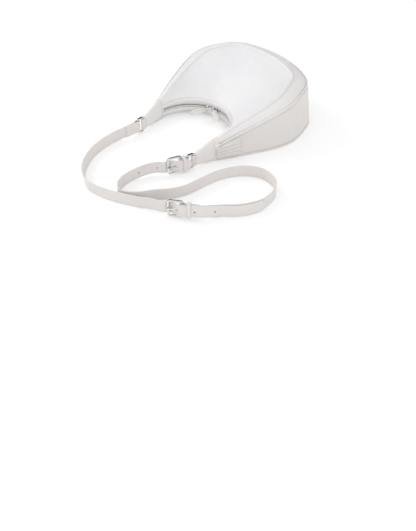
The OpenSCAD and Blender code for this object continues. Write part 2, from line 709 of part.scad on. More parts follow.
// Where a holed strap threads its buckle: under the far bar, up through the frame and over the
// pivot bar. It starts its climb at a share of the buckle's length before the pivot bar.
over_loop = loop_r + strap_t + turn_gap;
under_bar = -loop_r;
over_ring = ring_loop_r + strap_t + turn_gap;
function threaded(lead_share) =
    [[-buckle_l * lead_share, under_bar / 2], [-buckle_l, under_bar], [-buckle_l * 5 / 6, under_bar],
     [-buckle_l / 4, over_loop * 3 / 4], [0, over_loop]];
// The slot that the prong comes up through
module prong_hole(spot, z, dir) {
    slot = prong_d + 2 * turn_gap;
    placed(spot, z, dir)
        translate([-buckle_l * 3 / 4, under_bar, -slot / 2])
            cube([buckle_l * 2 / 3, over_loop - under_bar + strap_t, slot]);
}
module punched(places) {
    for (k = places)
        translate(k[0] + [0, 0, strap_w / 2]) rotate([0, 0, heading(k[1])]) rotate([0, 90, 0])
            translate([0, 0, -strap_t]) cylinder(h = 2 * strap_t, d = hole_d, $fn = 24);
}

side_lead_share = 1.3;
front_lead_share = 1.5;

// Routes over the floor, as shares of lay: x, y and, where a strap stands clear of the floor, z.
// Left strap: from the left ring, in one long bend, to the front buckle
left_route_shares = [[-0.585, -2.40], [-0.565, -2.55], [-0.52, -2.74], [-0.44, -2.94], [-0.32, -3.12],
                     [-0.15, -3.30], [0.08, -3.44], [0.32, -3.49], [0.58, -3.42], [0.82, -3.30],
                     [1.08, -3.13], [1.26, -3.01, 0.025]];
// Right strap: from the side buckle, a bend towards the left strap, then the wide loop to the
// front buckle
right_route_shares = [[0.60, -2.44, 0.04], [0.54, -2.56, 0.03], [0.505, -2.71, 0.015],
                      [0.50, -2.89], [0.545, -3.06], [0.635, -3.18], [0.77, -3.235], [0.90, -3.17],
                      [1.01, -3.03], [1.10, -2.83], [1.22, -2.62], [1.28, -2.42], [1.285, -2.18],
                      [1.275, -1.95], [1.29, -1.76], [1.34, -1.57], [1.42, -1.42], [1.53, -1.30],
                      [1.66, -1.225], [1.79, -1.21], [1.92, -1.225], [2.04, -1.29], [2.14, -1.41],
                      [2.205, -1.58], [2.215, -1.76], [2.17, -1.94], [2.08, -2.115], [1.96, -2.285]];
function on_floor(shares) = [for (p = shares) [p[0], p[1], len(p) > 2 ? p[2] : 0] * lay];

// A sewn end: the turned-back layer, the turn round the bar and the start of the strap's run
function sewn_end(spot, dir, r, z) =
    local(spot, dir, z, concat([[sewn_l, -half_pair], [loop_run, -half_pair]],
                               reversed(turn_round(r)), [[loop_run, half_pair]]));

module strap_right() {
    route = concat(right_route, from_index(reversed(front_end), 1));
    thread_run = tail_in + buckle_l / 2;
    color(leather)
    difference() {
        ribbon(route);
        prong_hole(side_pivot, ring_z, side_dir);
        eye_slot(front_pivot, buckle_z, front_dir);
        punched([for (k = [1, 2]) walk(route, thread_run + k * hole_pitch)]);
    }
}
tail_in = tab_l + ring_l / 2;
front_end = sewn_end(front_pivot, front_dir, loop_r, buckle_lift);
side_thread = local(side_pivot, side_dir, ring_lift,
                    concat([[tail_in, over_ring], [tab_l, over_ring]], reversed(threaded(side_lead_share))));
front_lead = local(front_pivot, front_dir, buckle_lift, [[sewn_l, half_pair], [loop_run, half_pair]]);
right_route = smooth(concat(side_thread, on_floor(right_route_shares), front_lead), 3);

// The left strap's tail lies along the outside of the right strap
tail_gap = strap_t + turn_gap;
tail_route =
    let (back = reversed(right_route), n = len(back))
    [for (i = [1:n - 2]) if (run_of(back, i) < tail_l) back[i] + at(side_of(back, i), 0) * tail_gap];
left_lead = local(left_strap_bar, -left_ring_dir, ring_lift, [[loop_run, half_pair], [sewn_l, half_pair]]);
front_thread = local(front_pivot, front_dir, buckle_lift, threaded(front_lead_share));
left_route = smooth(concat(left_lead, on_floor(left_route_shares), front_thread), 3);

module strap_left() {
    start = sewn_end(left_strap_bar, -left_ring_dir, ring_loop_r, ring_lift);
    body = concat(start, from_index(left_route, 1));
    pivot_run = run_of(body, len(body) - 1);
    route = concat(body, tail_route);
    color(leather)
    difference() {
        ribbon(route);
        prong_hole(front_pivot, buckle_z, front_dir);
        punched([for (k = [1, 2]) walk(route, pivot_run - buckle_l / 2 + k * hole_pitch)]);
    }
}

// Keeper: a band of leather round the straps beside a buckle
keeper_t = 1.6;
keeper_corner = 1.2;
module keeper(from, low, high) {
    half = strap_w / 2 + turn_gap;
    function box(grow, cut) =
        let (a = low - grow, b = high + grow, h = half + grow)
        [[a + cut, -h], [b - cut, -h], [b, cut - h], [b, h - cut],
         [b - cut, h], [a + cut, h], [a, h - cut], [a, cut - h]];
    translate([from, 0, 0]) rotate([90, 0, 90]) linear_extrude(keeper_w) difference() {
        polygon(box(keeper_t, keeper_corner));
        polygon([[low, -half], [high, -half], [high, half], [low, half]]);
    }
}
keeper_back = -(half_pair + strap_t / 2 + keeper_t / 2);
module side_keeper() {
    back = -(ring_loop_r + strap_t / 2 + turn_gap);
    color(leather) placed(side_pivot, ring_z, side_dir)
        keeper(tab_l - wire_d / 2 - turn_gap - keeper_w, back, over_ring + strap_t / 2 + turn_gap);
}
module front_keeper() {
    color(leather) placed(front_pivot, buckle_z, front_dir)
        keeper(loop_run, keeper_back, over_loop + turn_gap);
}

back_panel();
gusset();
gusset_board();
front_field();
front_band();
front_ridge();
front_welt();
back_welt();
front_facing();
back_facing();
lining();
zip_tape_front();
zip_tape_back();
zip_teeth();
zip_stops();
zip_slider_left();
zip_slider_right();
zip_pull_left();
zip_pull_right();
pull_tag_left();
pull_tag_right();
gusset_patch(left_end - patch_span, left_end);  // gusset_patch_left
gusset_patch(0, patch_span);  // gusset_patch_right
horn_cap_left();
horn_cap_right();
cap_loop_left();
cap_loop_right();
ring_left();
ring_right();
strap_left();
strap_right();
buckle_tab();
side_buckle_frame();
side_buckle_prong();
side_keeper();
front_buckle_frame();
front_buckle_prong();
front_keeper();
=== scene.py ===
"""Half moon shoulder bag of smooth white leather, lying on its back with its buckled strap on the floor.

Lengths are in millimetres in the shape functions and turn to metres when a mesh is made.
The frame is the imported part's own: +Z up, +Y to the deep bottom edge, the horns towards -Y.
"""

from math import asin, cos, degrees, exp, pi, radians, sin, sqrt

import bpy
import numpy as np
from mathutils import Matrix, Vector


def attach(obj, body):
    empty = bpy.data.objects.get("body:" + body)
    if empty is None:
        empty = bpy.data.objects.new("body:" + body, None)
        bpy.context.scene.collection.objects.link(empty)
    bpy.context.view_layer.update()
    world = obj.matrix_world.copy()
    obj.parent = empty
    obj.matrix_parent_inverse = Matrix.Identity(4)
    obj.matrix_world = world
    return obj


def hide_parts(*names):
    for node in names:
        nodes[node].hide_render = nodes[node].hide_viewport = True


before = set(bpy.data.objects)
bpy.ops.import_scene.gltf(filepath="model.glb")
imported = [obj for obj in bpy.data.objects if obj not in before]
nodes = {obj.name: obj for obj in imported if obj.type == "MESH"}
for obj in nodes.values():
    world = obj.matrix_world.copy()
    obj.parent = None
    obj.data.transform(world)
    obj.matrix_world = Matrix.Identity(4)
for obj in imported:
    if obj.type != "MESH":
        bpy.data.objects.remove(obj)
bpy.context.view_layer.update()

MM = 0.001

# Sizes of the bag, as in the part's source
bag_w = 236
panel_l = 148
body_l = 225
horn_w = 19
body_h = 80
horn_h = 26
front_setback = 15
band_w = 26
horn_band_w = 9
ridge_rise = 7
field_crown = 5
wall = 2
welt_d = 2.6
patch_t = 1.2
patch_shown_l = 27
mouth_r = 66
mouth_short = 1.8
mouth_h = 28
horn_mouth_h = 25.5
mouth_back_h = 8
zip_z = 17.5
zip_window = 9.6
zip_short = 9.2
facing_t = 1.6
tape_t = 0.6
slider_l = 10
slider_gap = 1.3
slider_right_deg = 104
tag_l = 24
tag_w = 9
tag_t = 2
strap_w = 20
strap_t = 2
wire_d = 3.6
ring_h = 24.6
ring_l = 12
buckle_h = 27
buckle_l = 20.5
tab_l = 10
sewn_l = 26
keeper_w = 5.5
tail_l = 118
hole_d = 2.4
hole_pitch = 30
cap_left_l = 48
cap_right_l = 40
seam_gap = 0.2
turn_gap = 0.3
floor_gap = 0.3
fill_power = 3.5
gusset_bulge = 1
back_flat_share = 0.62
band_shoulder_share = 0.62

bottom_y = panel_l / 2
horn_y = bottom_y - body_l
mouth_cy = -panel_l / 2 - mouth_r
mouth_wrap = degrees(asin((mouth_cy - horn_y - mouth_short) / mouth_r))
horn_share = (mouth_r * cos(radians(mouth_wrap)) + horn_w) / (bag_w / 2)
half_outline_shares = [[horn_share, 0], [0.893, 0.259], [0.998, 0.453], [1, 0.619], [0.883, 0.776],
                       [0.648, 0.918]]
outline_shares = half_outline_shares + [[0, 1]] + [[-x, y] for x, y in reversed(half_outline_shares)]


# Curves and vectors

def unit(v):
    v = np.asarray(v, float)
    return v / np.linalg.norm(v, axis=-1, keepdims=True)


def left_of(direction):
    """The level direction to the left of one."""
    return np.stack([-direction[..., 1], direction[..., 0]], -1)


def mix(a, b, t):
    return a + (b - a) * t


def spline(points, t):
    """Natural cubic spline through points that stand at whole numbers of t."""
    p = np.asarray(points, float)
    last = len(p) - 1
    system = np.eye(last + 1)
    right = np.zeros_like(p)
    for i in range(1, last):
        system[i, i - 1:i + 2] = [1, 4, 1]
        right[i] = 6 * (p[i - 1] - 2 * p[i] + p[i + 1])
    bend = np.linalg.solve(system, right)
    t = np.asarray(t, float)
    i = np.clip(np.floor(t).astype(int), 0, last - 1)
    u = (t - i)[..., None]
    v = 1 - u
    return p[i] * v + p[i + 1] * u + ((v ** 3 - v) * bend[i] + (u ** 3 - u) * bend[i + 1]) / 6


def blur(values, sigma):
    """Gaussian smoothing along the first axis that keeps the two ends."""
    reach = int(3 * sigma) + 1
    kernel = np.exp(-0.5 * (np.arange(-reach, reach + 1) / sigma) ** 2)
    kernel /= kernel.sum()
    first, end = values[:1], values[-1:]
    long = np.concatenate([2 * first - values[reach:0:-1], values, 2 * end - values[-2:-reach - 2:-1]])
    return np.stack([np.convolve(long[:, k], kernel, "valid") for k in range(values.shape[1])], 1)


def blur_ring(ring, sigma):
    """Gaussian smoothing of a closed ring of points."""
    steps = range(-int(3 * sigma), int(3 * sigma) + 1)
    weights = [exp(-0.5 * (k / sigma) ** 2) for k in steps]
    return sum(w * np.roll(ring, k, axis=0) for k, w in zip(steps, weights)) / sum(weights)


def run_along(points):
    """Distance along a polyline at each of its points."""
    return np.concatenate([[0], np.cumsum(np.linalg.norm(np.diff(points, axis=0), axis=1))])


def walk(points, runs, run=None):
    """Points at given distances along a polyline; run holds the distance of each row, if known."""
    points = np.asarray(points, float)
    if run is None:
        run = run_along(points)
    return np.stack([np.interp(runs, run, points[:, k]) for k in range(points.shape[1])], -1)


def resample(points, step):
    total = run_along(np.asarray(points, float))[-1]
    return walk(points, np.linspace(0, total, max(int(round(total / step)), 2) + 1))


def waves(points, size, seed, count=24):
    """Smooth noise, mostly between -1 and 1, with waves of about a size in millimetres."""
    draw = np.random.default_rng(seed)
    directions = unit(draw.normal(size=(count, 3)))
    lengths = size * draw.uniform(0.7, 1.6, count)
    phases = draw.uniform(0, 2 * pi, count)
    swing = np.asarray(points) @ (directions * (2 * pi / lengths)[:, None]).T + phases
    return np.sin(swing).sum(-1) / sqrt(count)


# The body's surfaces. s runs from the right horn end (0) by the bottom edge (1) to the left horn end (2).

ridge_round_w = 6.6
ridge_round_h = 3.5
ridge_sunk = 0.7


def edge_xy(s, run):
    share = spline(outline_shares, np.asarray(s) * 6)
    return np.stack([share[..., 0] * bag_w / 2, horn_y + share[..., 1] * run], -1)


def base_xy(s):
    return edge_xy(s, body_l)


def seam_xy(s):
    return edge_xy(s, body_l - front_setback)


def inward(s):
    """The level direction from the seam into the bag."""
    step = 0.004
    s = np.asarray(s, float)
    along = unit(seam_xy(np.minimum(s + step, 2)) - seam_xy(np.maximum(s - step, 0)))
    return left_of(along)


def fill(s):
    return 1 - np.abs(1 - np.asarray(s, float)) ** fill_power


def from_horn(low, high, s):
    return low + (high - low) * fill(s)


def seam_h(s):
    return from_horn(horn_h, body_h, s)


def band(s):
    return from_horn(horn_band_w, band_w, s)


def front_mouth_h(s):
    return from_horn(horn_mouth_h, mouth_h, s)


def mouth_xy(s, out):
    angle = np.radians(-mouth_wrap + np.asarray(s, float) * (90 + mouth_wrap))
    return np.stack([(mouth_r + out) * np.cos(angle), mouth_cy + (mouth_r + out) * np.sin(angle)], -1)


def lifted(xy, z):
    z = np.broadcast_to(np.asarray(z, float), xy.shape[:-1])
    return np.concatenate([xy, z[..., None]], -1)


def back_at(s, t):
    edge = base_xy(s) + inward(s) * welt_d
    up = np.maximum(t - back_flat_share, 0) / (1 - back_flat_share)
    return lifted(mix(edge, mouth_xy(s, facing_t + seam_gap), t[..., None]), mouth_back_h * up * up)


def gusset_at(s, t, deep=0):
    low = lifted(base_xy(s), floor_gap + welt_d + seam_gap)
    high = lifted(seam_xy(s), seam_h(s) - welt_d - seam_gap)
    away = gusset_bulge * 4 * t * (1 - t) * fill(s) - deep
    return mix(low, high, t[..., None]) - lifted(inward(s) * away[..., None], 0)


def band_at(s, t):
    to = band(s) - ridge_round_w / 2 + seam_gap
    lift = mix(t, 1 - (1 - t) ** 2, band_shoulder_share)
    return lifted(seam_xy(s) + inward(s) * mix(welt_d, to, t)[..., None], seam_h(s) + ridge_rise * lift)


def field_at(s, t):
    start = seam_xy(s) + inward(s) * (band(s) + ridge_round_w / 2 - seam_gap)[..., None]
    stop = mouth_xy(s, facing_t + seam_gap)
    crown = field_crown * fill(s) * 4 * t * (1 - t)
    return lifted(mix(start, stop, t[..., None]), mix(seam_h(s) + ridge_rise, front_mouth_h(s), t) + crown)


# Mesh making

def smooth(obj, sharp=50):
    mesh = obj.data
    mesh.polygons.foreach_set("use_smooth", [True] * len(mesh.polygons))
    mesh.set_sharp_from_angle(angle=radians(sharp))


def add_object(name, data):
    obj = bpy.data.objects.new(name, data)
    bpy.context.scene.collection.objects.link(obj)
    return obj


def make_mesh(name, node, points, faces, slot, materials, body="bag"):
    """A piece of the object, which stands in for a node of the part if one is named."""
    mesh = bpy.data.meshes.new(name)
    mesh.from_pydata((np.asarray(points, float) * MM).tolist(), [], faces)
    mesh.update()
    for material in materials:
        mesh.materials.append(material)
    obj = add_object(name, mesh)
    smooth(obj)
    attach(obj, body)
    if node:
        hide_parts(node)
    return obj


def outward(points, faces):
    """The faces, turned over where the volume that they close in comes out negative."""
    points = np.asarray(points) - np.mean(points, axis=0)
    corners = np.array([[f[0], f[k], f[k + 1]] for f in faces for k in range(1, len(f) - 1)])
    a, b, c = (points[corners[:, k]] for k in range(3))
    return faces if np.sum(a * np.cross(b, c)) > 0 else [tuple(reversed(f)) for f in faces]


def tube_faces(m, n, closed=False):
    """Quads through m rings of n points."""
    faces = []
    for i in range(m if closed else m - 1):
        a, b = i * n, (i + 1) % m * n
        faces += [(a + j, a + (j + 1) % n, b + (j + 1) % n, b + j) for j in range(n)]
    return faces


def loft(name, node, rings, *look, closed=False, **kw):
    """Closed solid through rings of points, with a fan at each end unless the rings close on themselves."""
    rings = np.asarray(rings, float)
    m, n = rings.shape[:2]
    points = rings.reshape(-1, 3)
    faces = tube_faces(m, n, closed)
    if not closed:
        end = (m - 1) * n
        points = np.concatenate([points, [rings[0].mean(0), rings[-1].mean(0)]])
        faces += [(j, m * n, (j + 1) % n) for j in range(n)]
        faces += [(end + j, end + (j + 1) % n, m * n + 1) for j in range(n)]
    return make_mesh(name, node, points, outward(points, faces), *look, **kw)


def grid_normals(grid):
    return unit(np.cross(np.gradient(grid, axis=0), np.gradient(grid, axis=1)) + 1e-12)


def faced(grid, towards):
    """The grid with its rows in the order that turns its normals towards a direction at its middle."""
    m, n = grid.shape[:2]
    return grid if np.dot(grid_normals(grid)[m // 2, n // 2], towards) > 0 else grid[::-1]


def rim_runs(grid):
    """Distance of each point of a grid from its first and from its last column."""
    steps = np.linalg.norm(np.diff(grid, axis=1), axis=2)
    run = np.concatenate([np.zeros((len(grid), 1)), np.cumsum(steps, axis=1)], 1)
    return run, run[:, -1:] - run


def shaped(grid, swell, pucker, curls, grooves=(), seed=1):
    """A worked panel: broad soft waves, puckers by its seams, rims pulled down into the seams, grooves."""
    broad_size, middle_size, pucker_size = 60, 24, 7
    pucker_reach, calm_reach, groove_reach = 4, 9, 0.55
    first_curl, last_curl, curl_reach = curls
    run, back = rim_runs(grid)
    rims = np.exp(-run / pucker_reach) + np.exp(-back / pucker_reach)
    broad = waves(grid, broad_size, seed) + 0.4 * waves(grid, middle_size, seed + 1)
    move = swell * broad * np.clip(np.minimum(run, back) / calm_reach, 0, 1)
    move += pucker * waves(grid, pucker_size, seed + 2) * rims
    move -= first_curl * np.exp(-(run / curl_reach) ** 2) + last_curl * np.exp(-(back / curl_reach) ** 2)
    for place, depth in grooves:
        away = run if place > 0 else back
        move -= depth * np.exp(-((away - abs(place)) / groove_reach) ** 2)
    return grid + grid_normals(grid) * move[..., None]


def sheet_mesh(name, node, rings, n, rim, *look):
    """Solid whose rings run out over n points, round a rim, back over n points and round a rim."""
    m, size = rings.shape[:2]
    back = 2 * n + rim - 1
    ladder = [(j, j + 1, back - 1 - j, back - j) for j in range(n - 1)]
    if rim:
        ladder += [tuple(range(n - 1, n + rim + 1)), tuple(range(back, size)) + (0,)]
    end = (m - 1) * size
    faces = tube_faces(m, size) + [tuple(reversed(f)) for f in ladder]
    faces += [tuple(end + k for k in f) for f in ladder]
    points = rings.reshape(-1, 3)
    return make_mesh(name, node, points, outward(points, faces), *look)


def skin(name, node, grid, thick, *look):
    """Closed sheet with round rims; the grid is its shown side."""
    normals = grid_normals(grid)
    mid = grid - normals * thick / 2
    n = grid.shape[1]
    turns = np.radians([60, 30, 0, -30, -60])

    def rim(edge, beside, angles):
        away = unit(mid[:, edge] - mid[:, beside])
        return [mid[:, edge] + thick / 2 * (away * cos(a) + normals[:, edge] * sin(a)) for a in angles]

    hidden = grid - normals * thick
    columns = [grid[:, j] for j in range(n)] + rim(-1, -2, turns)
    columns += [hidden[:, j] for j in reversed(range(n))] + rim(0, 1, turns[::-1])
    return sheet_mesh(name, node, np.stack(columns, 1), n, len(turns), *look)


def cut(obj, tools):
    """Takes the tools out of obj and removes them."""
    for one in tools:
        change = obj.modifiers.new("cut", "BOOLEAN")
        change.operation = "DIFFERENCE"
        change.solver = "MANIFOLD"
        change.object = one
    bpy.context.view_layer.update()
    mesh = bpy.data.meshes.new_from_object(obj.evaluated_get(bpy.context.evaluated_depsgraph_get()))
    old = obj.data
    obj.modifiers.clear()
    obj.data = mesh
    bpy.data.meshes.remove(old)
    for one in tools:
        bpy.data.objects.remove(one)
    smooth(obj, 40)


capsule_turns = 8
capsule_shape = [(-1, 0.3), (-0.82, 0.75), (-0.4, 1), (0.4, 1), (0.82, 0.75), (1, 0.3)]


def capsules(name, node, places, along, normals, size, *look, sunk=0, arch=0, **kw):
    """Short rounded rods, such as thread stitches: one at each place, sunk a share of its thickness."""
    length, thick = size
    m, n = len(capsule_shape), capsule_turns
    along = unit(along)
    normals = unit(normals - along * np.sum(along * normals, -1, keepdims=True))
    side = np.cross(normals, along)
    rings = []
    for stop, swell in capsule_shape:
        middle = places + along * stop * length / 2 + normals * thick * (arch * (1 - stop * stop) - sunk)
        rings += [middle + (side * cos(a) + normals * sin(a)) * swell * thick / 2
                  for a in 2 * pi * np.arange(n) / n]
    points = np.stack(rings, 1)
    shell = tube_faces(m, n) + [tuple(reversed(range(n))), tuple(range((m - 1) * n, m * n))]
    faces = [tuple(k * m * n + v for v in f) for k in range(len(points)) for f in outward(points[0], shell)]
    return make_mesh(name, node, points.reshape(-1, 3), faces, *look, **kw)


def stitch_row(name, path, normals, slot, margin=0.5, pitch=3.0, body="bag"):
    """A sewn line along a path: thread stitches, and between them small dark sunk rods, painted shade for the
    needle holes.
    """
    path, normals = np.asarray(path, float), np.asarray(normals, float)
    run = run_along(path)
    length = run[-1] - 2 * margin
    count = max(int(length / pitch), 1)
    # The second kind is dark rods for the needle holes: painted shade.
    for kind, shift, share, thick, sunk, material in (("thread", 0.5, 0.68, 0.75, 0.22, pale_thread),
                                                      ("holes", 1.0, 0.30, 0.8, 0.5, needle_hole_shade)):
        at = margin + (length - count * pitch) / 2 + pitch * (np.arange(count) + shift)
        ahead = walk(path, at + 0.5, run) - walk(path, at - 0.5, run)
        capsules(name + "_" + kind, None, walk(path, at, run), ahead, walk(normals, at, run),
                 (share * pitch, thick), slot, [material], sunk=sunk, arch=0.35, body=body)


def row_on(grid, distance):
    """The line on a grid, with its normals, at a distance from its first column or, if negative, its last."""
    run, back = rim_runs(grid)
    normals = grid_normals(grid)
    if distance < 0:
        run, grid, normals = back[:, ::-1], grid[:, ::-1], normals[:, ::-1]
    return [np.array([walk(row, abs(distance), a) for a, row in zip(run, rows)])
            for rows in (grid, normals)]


# Materials

class Shading:
    """A shader tree under construction. An input is a value or another node's output."""

    def __init__(self, owner, place="Object"):
        owner.use_nodes = True
        self.owner = owner
        self.tree = owner.node_tree
        self.place = self.add("TexCoord", out=place)

    def wire(self, node, inputs):
        for key, value in dict(inputs).items():
            if isinstance(value, bpy.types.NodeSocket):
                self.tree.links.new(value, node.inputs[key])
            else:
                node.inputs[key].default_value = value

    def add(self, kind, inputs=(), out=0, **settings):
        """One output of a new node with these settings and inputs."""
        node = self.tree.nodes.new("ShaderNode" + kind)
        for key, value in settings.items():
            setattr(node, key, value)
        self.wire(node, inputs)
        return node.outputs[out]

    def finished(self, node, inputs):
        """The owner, once these inputs are on one of the nodes that it came with."""
        self.wire(self.tree.nodes[node], inputs)
        return self.owner

    def noise(self, scale, detail=3.0, place=None):
        place = self.place if place is None else place
        return self.add("TexNoise", {"Vector": place, "Scale": scale, "Detail": detail,
                                     "Roughness": 0.55}, "Fac")

    def cells(self, scale):
        return self.add("TexVoronoi", {"Vector": self.place, "Scale": scale, "Randomness": 0.95}, "Distance",
                        feature="DISTANCE_TO_EDGE")

    def wave(self, scale, distortion, axis):
        return self.add("TexWave", {"Vector": self.place, "Scale": scale, "Distortion": distortion}, "Fac",
                        bands_direction=axis)

    def ranged(self, value, low, high, to_low, to_high):
        return self.add("MapRange", {"Value": value, "From Min": low, "From Max": high, "To Min": to_low,
                                     "To Max": to_high}, "Result")

    def blended(self, share, a, b):
        return self.add("Mix", {0: share, 6: a, 7: b}, 2, data_type="RGBA")

    def math(self, how, a, b):
        return self.add("Math", {0: a, 1: b}, operation=how)

    def bump(self, height, strength, distance, **under):
        return self.add("Bump", {"Height": height, "Strength": strength, "Distance": distance,
                                 **under}, "Normal")

    def rays(self, *kinds):
        """One where a ray is of one of the kinds, else zero."""
        found = 0.0
        for kind in kinds:
            found = self.math("MAXIMUM", found, self.add("LightPath", out="Is %s Ray" % kind))
        return found


def rgba(colour, gain=1.0):
    """A colour written as it looks, dimmed by a gain, in the linear values that a shader takes."""
    seen = [c * gain for c in colour]
    return [((c + 0.055) / 1.055) ** 2.4 if c > 0.04 else c / 12.92 for c in seen] + [1.0]


def leather(name, colour, grain=1.0, rough=0.42, coat=0.10):
    """Smooth dyed leather: soft tone changes, fine pebbles, pores and slight creases."""
    shade = Shading(bpy.data.materials.new(name))
    broad, middle, fine = shade.noise(9, 2), shade.noise(70), shade.noise(900, 2)
    groove = shade.ranged(shade.cells(950), 0, 0.09, 0, 1)
    crease = shade.ranged(shade.cells(150), 0, 0.03, 0, 1)
    warm = [colour[0] * 0.985, colour[1] * 0.972, colour[2] * 0.955]
    tone = shade.blended(shade.ranged(broad, 0.3, 0.7, 0, 1), rgba(colour), rgba(colour, 0.98))
    tone = shade.blended(shade.ranged(middle, 0.45, 0.8, 0, 0.5), tone, rgba(warm))
    # The grain's grooves, at the cell edges, a little darker: painted shade in the grain's hollows.
    tone = shade.blended(shade.ranged(groove, 0, 1, 0.12, 0), tone, rgba(colour, 0.86))
    gloss = shade.math("ADD", shade.ranged(middle, 0.3, 0.7, rough - 0.05, rough + 0.06),
                       shade.ranged(fine, 0.3, 0.7, -0.03, 0.03))
    relief = shade.bump(middle, 0.10 * grain, 0.0016)
    relief = shade.bump(crease, 0.05 * grain, 0.0003, Normal=relief)
    relief = shade.bump(groove, 0.18 * grain, 0.00016, Normal=relief)
    relief = shade.bump(fine, 0.14 * grain, 0.0001, Normal=relief)
    return shade.finished("Principled BSDF", {"Base Color": tone, "Roughness": gloss, "Normal": relief,
                                              "Coat Weight": coat, "Coat Roughness": 0.35,
                                              "Specular IOR Level": 0.45})


def cloth(name, colour, threads):
    """Plain weave, with so many threads to the metre."""
    shade = Shading(bpy.data.materials.new(name))
    tone = shade.blended(shade.ranged(shade.noise(120), 0.3, 0.7, 0, 1), rgba(colour), rgba(colour, 0.94))
    weft = [shade.wave(threads / 20, 0.4, axis) for axis in "XYZ"]
    weave = shade.math("MAXIMUM", shade.math("MAXIMUM", weft[0], weft[1]), weft[2])
    tone = shade.blended(shade.ranged(weave, 0.2, 0.9, 0.25, 0), tone, rgba(colour, 0.8))
    return shade.finished("Principled BSDF", {"Base Color": tone, "Normal": shade.bump(weave, 0.5, 0.0002),
                                              "Roughness": 0.9, "Sheen Weight": 0.15})


def plated(name, colour, rough=0.09):
    """Polished plated metal with faint smudges and fine scratches."""
    shade = Shading(bpy.data.materials.new(name))
    smudge = shade.noise(160)
    scratches = shade.noise(4200, 2, shade.add("Mapping", {"Vector": shade.place, "Scale": (1, 1, 0.06)}))
    tone = shade.blended(shade.ranged(smudge, 0.35, 0.75, 0, 0.5), rgba(colour), rgba(colour, 0.88))
    return shade.finished("Principled BSDF", {
        "Base Color": tone, "Metallic": 1.0, "Normal": shade.bump(scratches, 0.06, 0.00005),
        "Roughness": shade.ranged(smudge, 0.3, 0.7, rough - 0.04, rough + 0.08)})


def thread(name, colour):
    """Twisted sewing thread."""
    shade = Shading(bpy.data.materials.new(name))
    twist = shade.wave(420, 1.0, "DIAGONAL")
    tone = shade.blended(shade.ranged(twist, 0, 1, 0, 0.35), rgba(colour), rgba(colour, 0.8))
    return shade.finished("Principled BSDF", {"Base Color": tone, "Normal": shade.bump(twist, 0.4, 0.0001),
                                              "Roughness": 0.6})


# One white leather throughout: these hides are lit and shaded copies of it, painted light. The top faces get
# the brightest, coolest copy; the band, piping, lower facing and tags a little less; the caps less again; the
# side walls, underside and straps a darker, warmer copy, painted shade.
top_lit_hide = leather("top_lit_hide", (0.952, 0.946, 0.951))
side_shade_hide = leather("side_shade_hide", (0.925, 0.908, 0.897))
half_lit_hide = leather("half_lit_hide", (0.95, 0.94, 0.933))
cap_half_shade_hide = leather("cap_half_shade_hide", (0.937, 0.923, 0.914))
strap_shade_hide = leather("strap_shade_hide", (0.922, 0.904, 0.893), rough=0.40)
edge_paint = leather("edge_paint", (0.93, 0.92, 0.91), grain=0.4, rough=0.32, coat=0.3)
lining_cloth = cloth("lining_cloth", (0.80, 0.78, 0.74), threads=1700)
tape_cloth = cloth("tape_cloth", (0.91, 0.90, 0.885), threads=2600)
board_card = cloth("board_card", (0.62, 0.55, 0.45), threads=300)
pale_thread = thread("pale_thread", (0.90, 0.885, 0.865))
# Painted shade: the dark of the needle holes, put on small rods between the stitches.
needle_hole_shade = thread("needle_hole_shade", (0.52, 0.46, 0.41))
# Painted shade: near black brown for the walls of the punched holes, over the cut edge's fibres.
hole_wall_shade = cloth("hole_wall_shade", (0.16, 0.13, 0.11), threads=900)
nickel = plated("nickel", (0.91, 0.905, 0.90))
tooth_metal = plated("tooth_metal", (0.74, 0.74, 0.77), rough=0.25)

# Panels. A row of stitches keeps a distance from a rim, and starts at a distance from the horn ends.

stations = 320
s_line = np.linspace(0, 2, stations + 1)
seam_line, base_line, inward_line = seam_xy(s_line), base_xy(s_line), inward(s_line)
seam_heights, mouth_heights = seam_h(s_line), front_mouth_h(s_line)
mouth_row, seam_row, facing_row = 2.9, 2.6, 1.6
mouth_row_start, seam_row_start, facing_row_start = 14, 44, 8
band_fold = 4.2


def panel(name, node, surface, columns, towards, slot, hide, *work, **kw):
    """A leather panel over all stations, its columns crowded towards both rims; work is what shapes it."""
    even = np.linspace(0, 1, columns + 1)
    s, t = np.meshgrid(s_line, mix(even, (1 - np.cos(even * pi)) / 2, 0.85), indexing="ij")
    grid = faced(surface(s, t), towards)
    if work:
        grid = shaped(grid, *work, **kw)
    skin(name, node, grid, wall, slot, [hide])
    return grid


field = panel("field_leather", "front_field", field_at, 110, [0, 0, 1], "front_leather", top_lit_hide,
              0.45, 0.10, (0.35, 0.3, 1.7), [(-mouth_row, 0.3)], seed=1)
panel("band_leather", "front_band", band_at, 56, [0, 0, 1], "front_leather", half_lit_hide,
      0.25, 0.10, (0.8, 0.35, 1.5), [(band_fold, 0.15)], seed=5)
side_wall = panel("gusset_leather", "gusset", gusset_at, 50, -np.append(inward(1.0), 0),
                  "body_leather", side_shade_hide, 0.6, 0.12, (0.8, 0.9, 1.4), seed=13)
panel("back_leather", "back_panel", back_at, 50, [0, 0, -1], "body_leather", side_shade_hide)
stitch_row("mouth_stitches", *row_on(field, -mouth_row), "front_leather", mouth_row_start)
stitch_row("gusset_top_stitches", *row_on(side_wall, -seam_row), "body_leather", seam_row_start)
stitch_row("gusset_base_stitches", *row_on(side_wall, seam_row), "body_leather", seam_row_start)


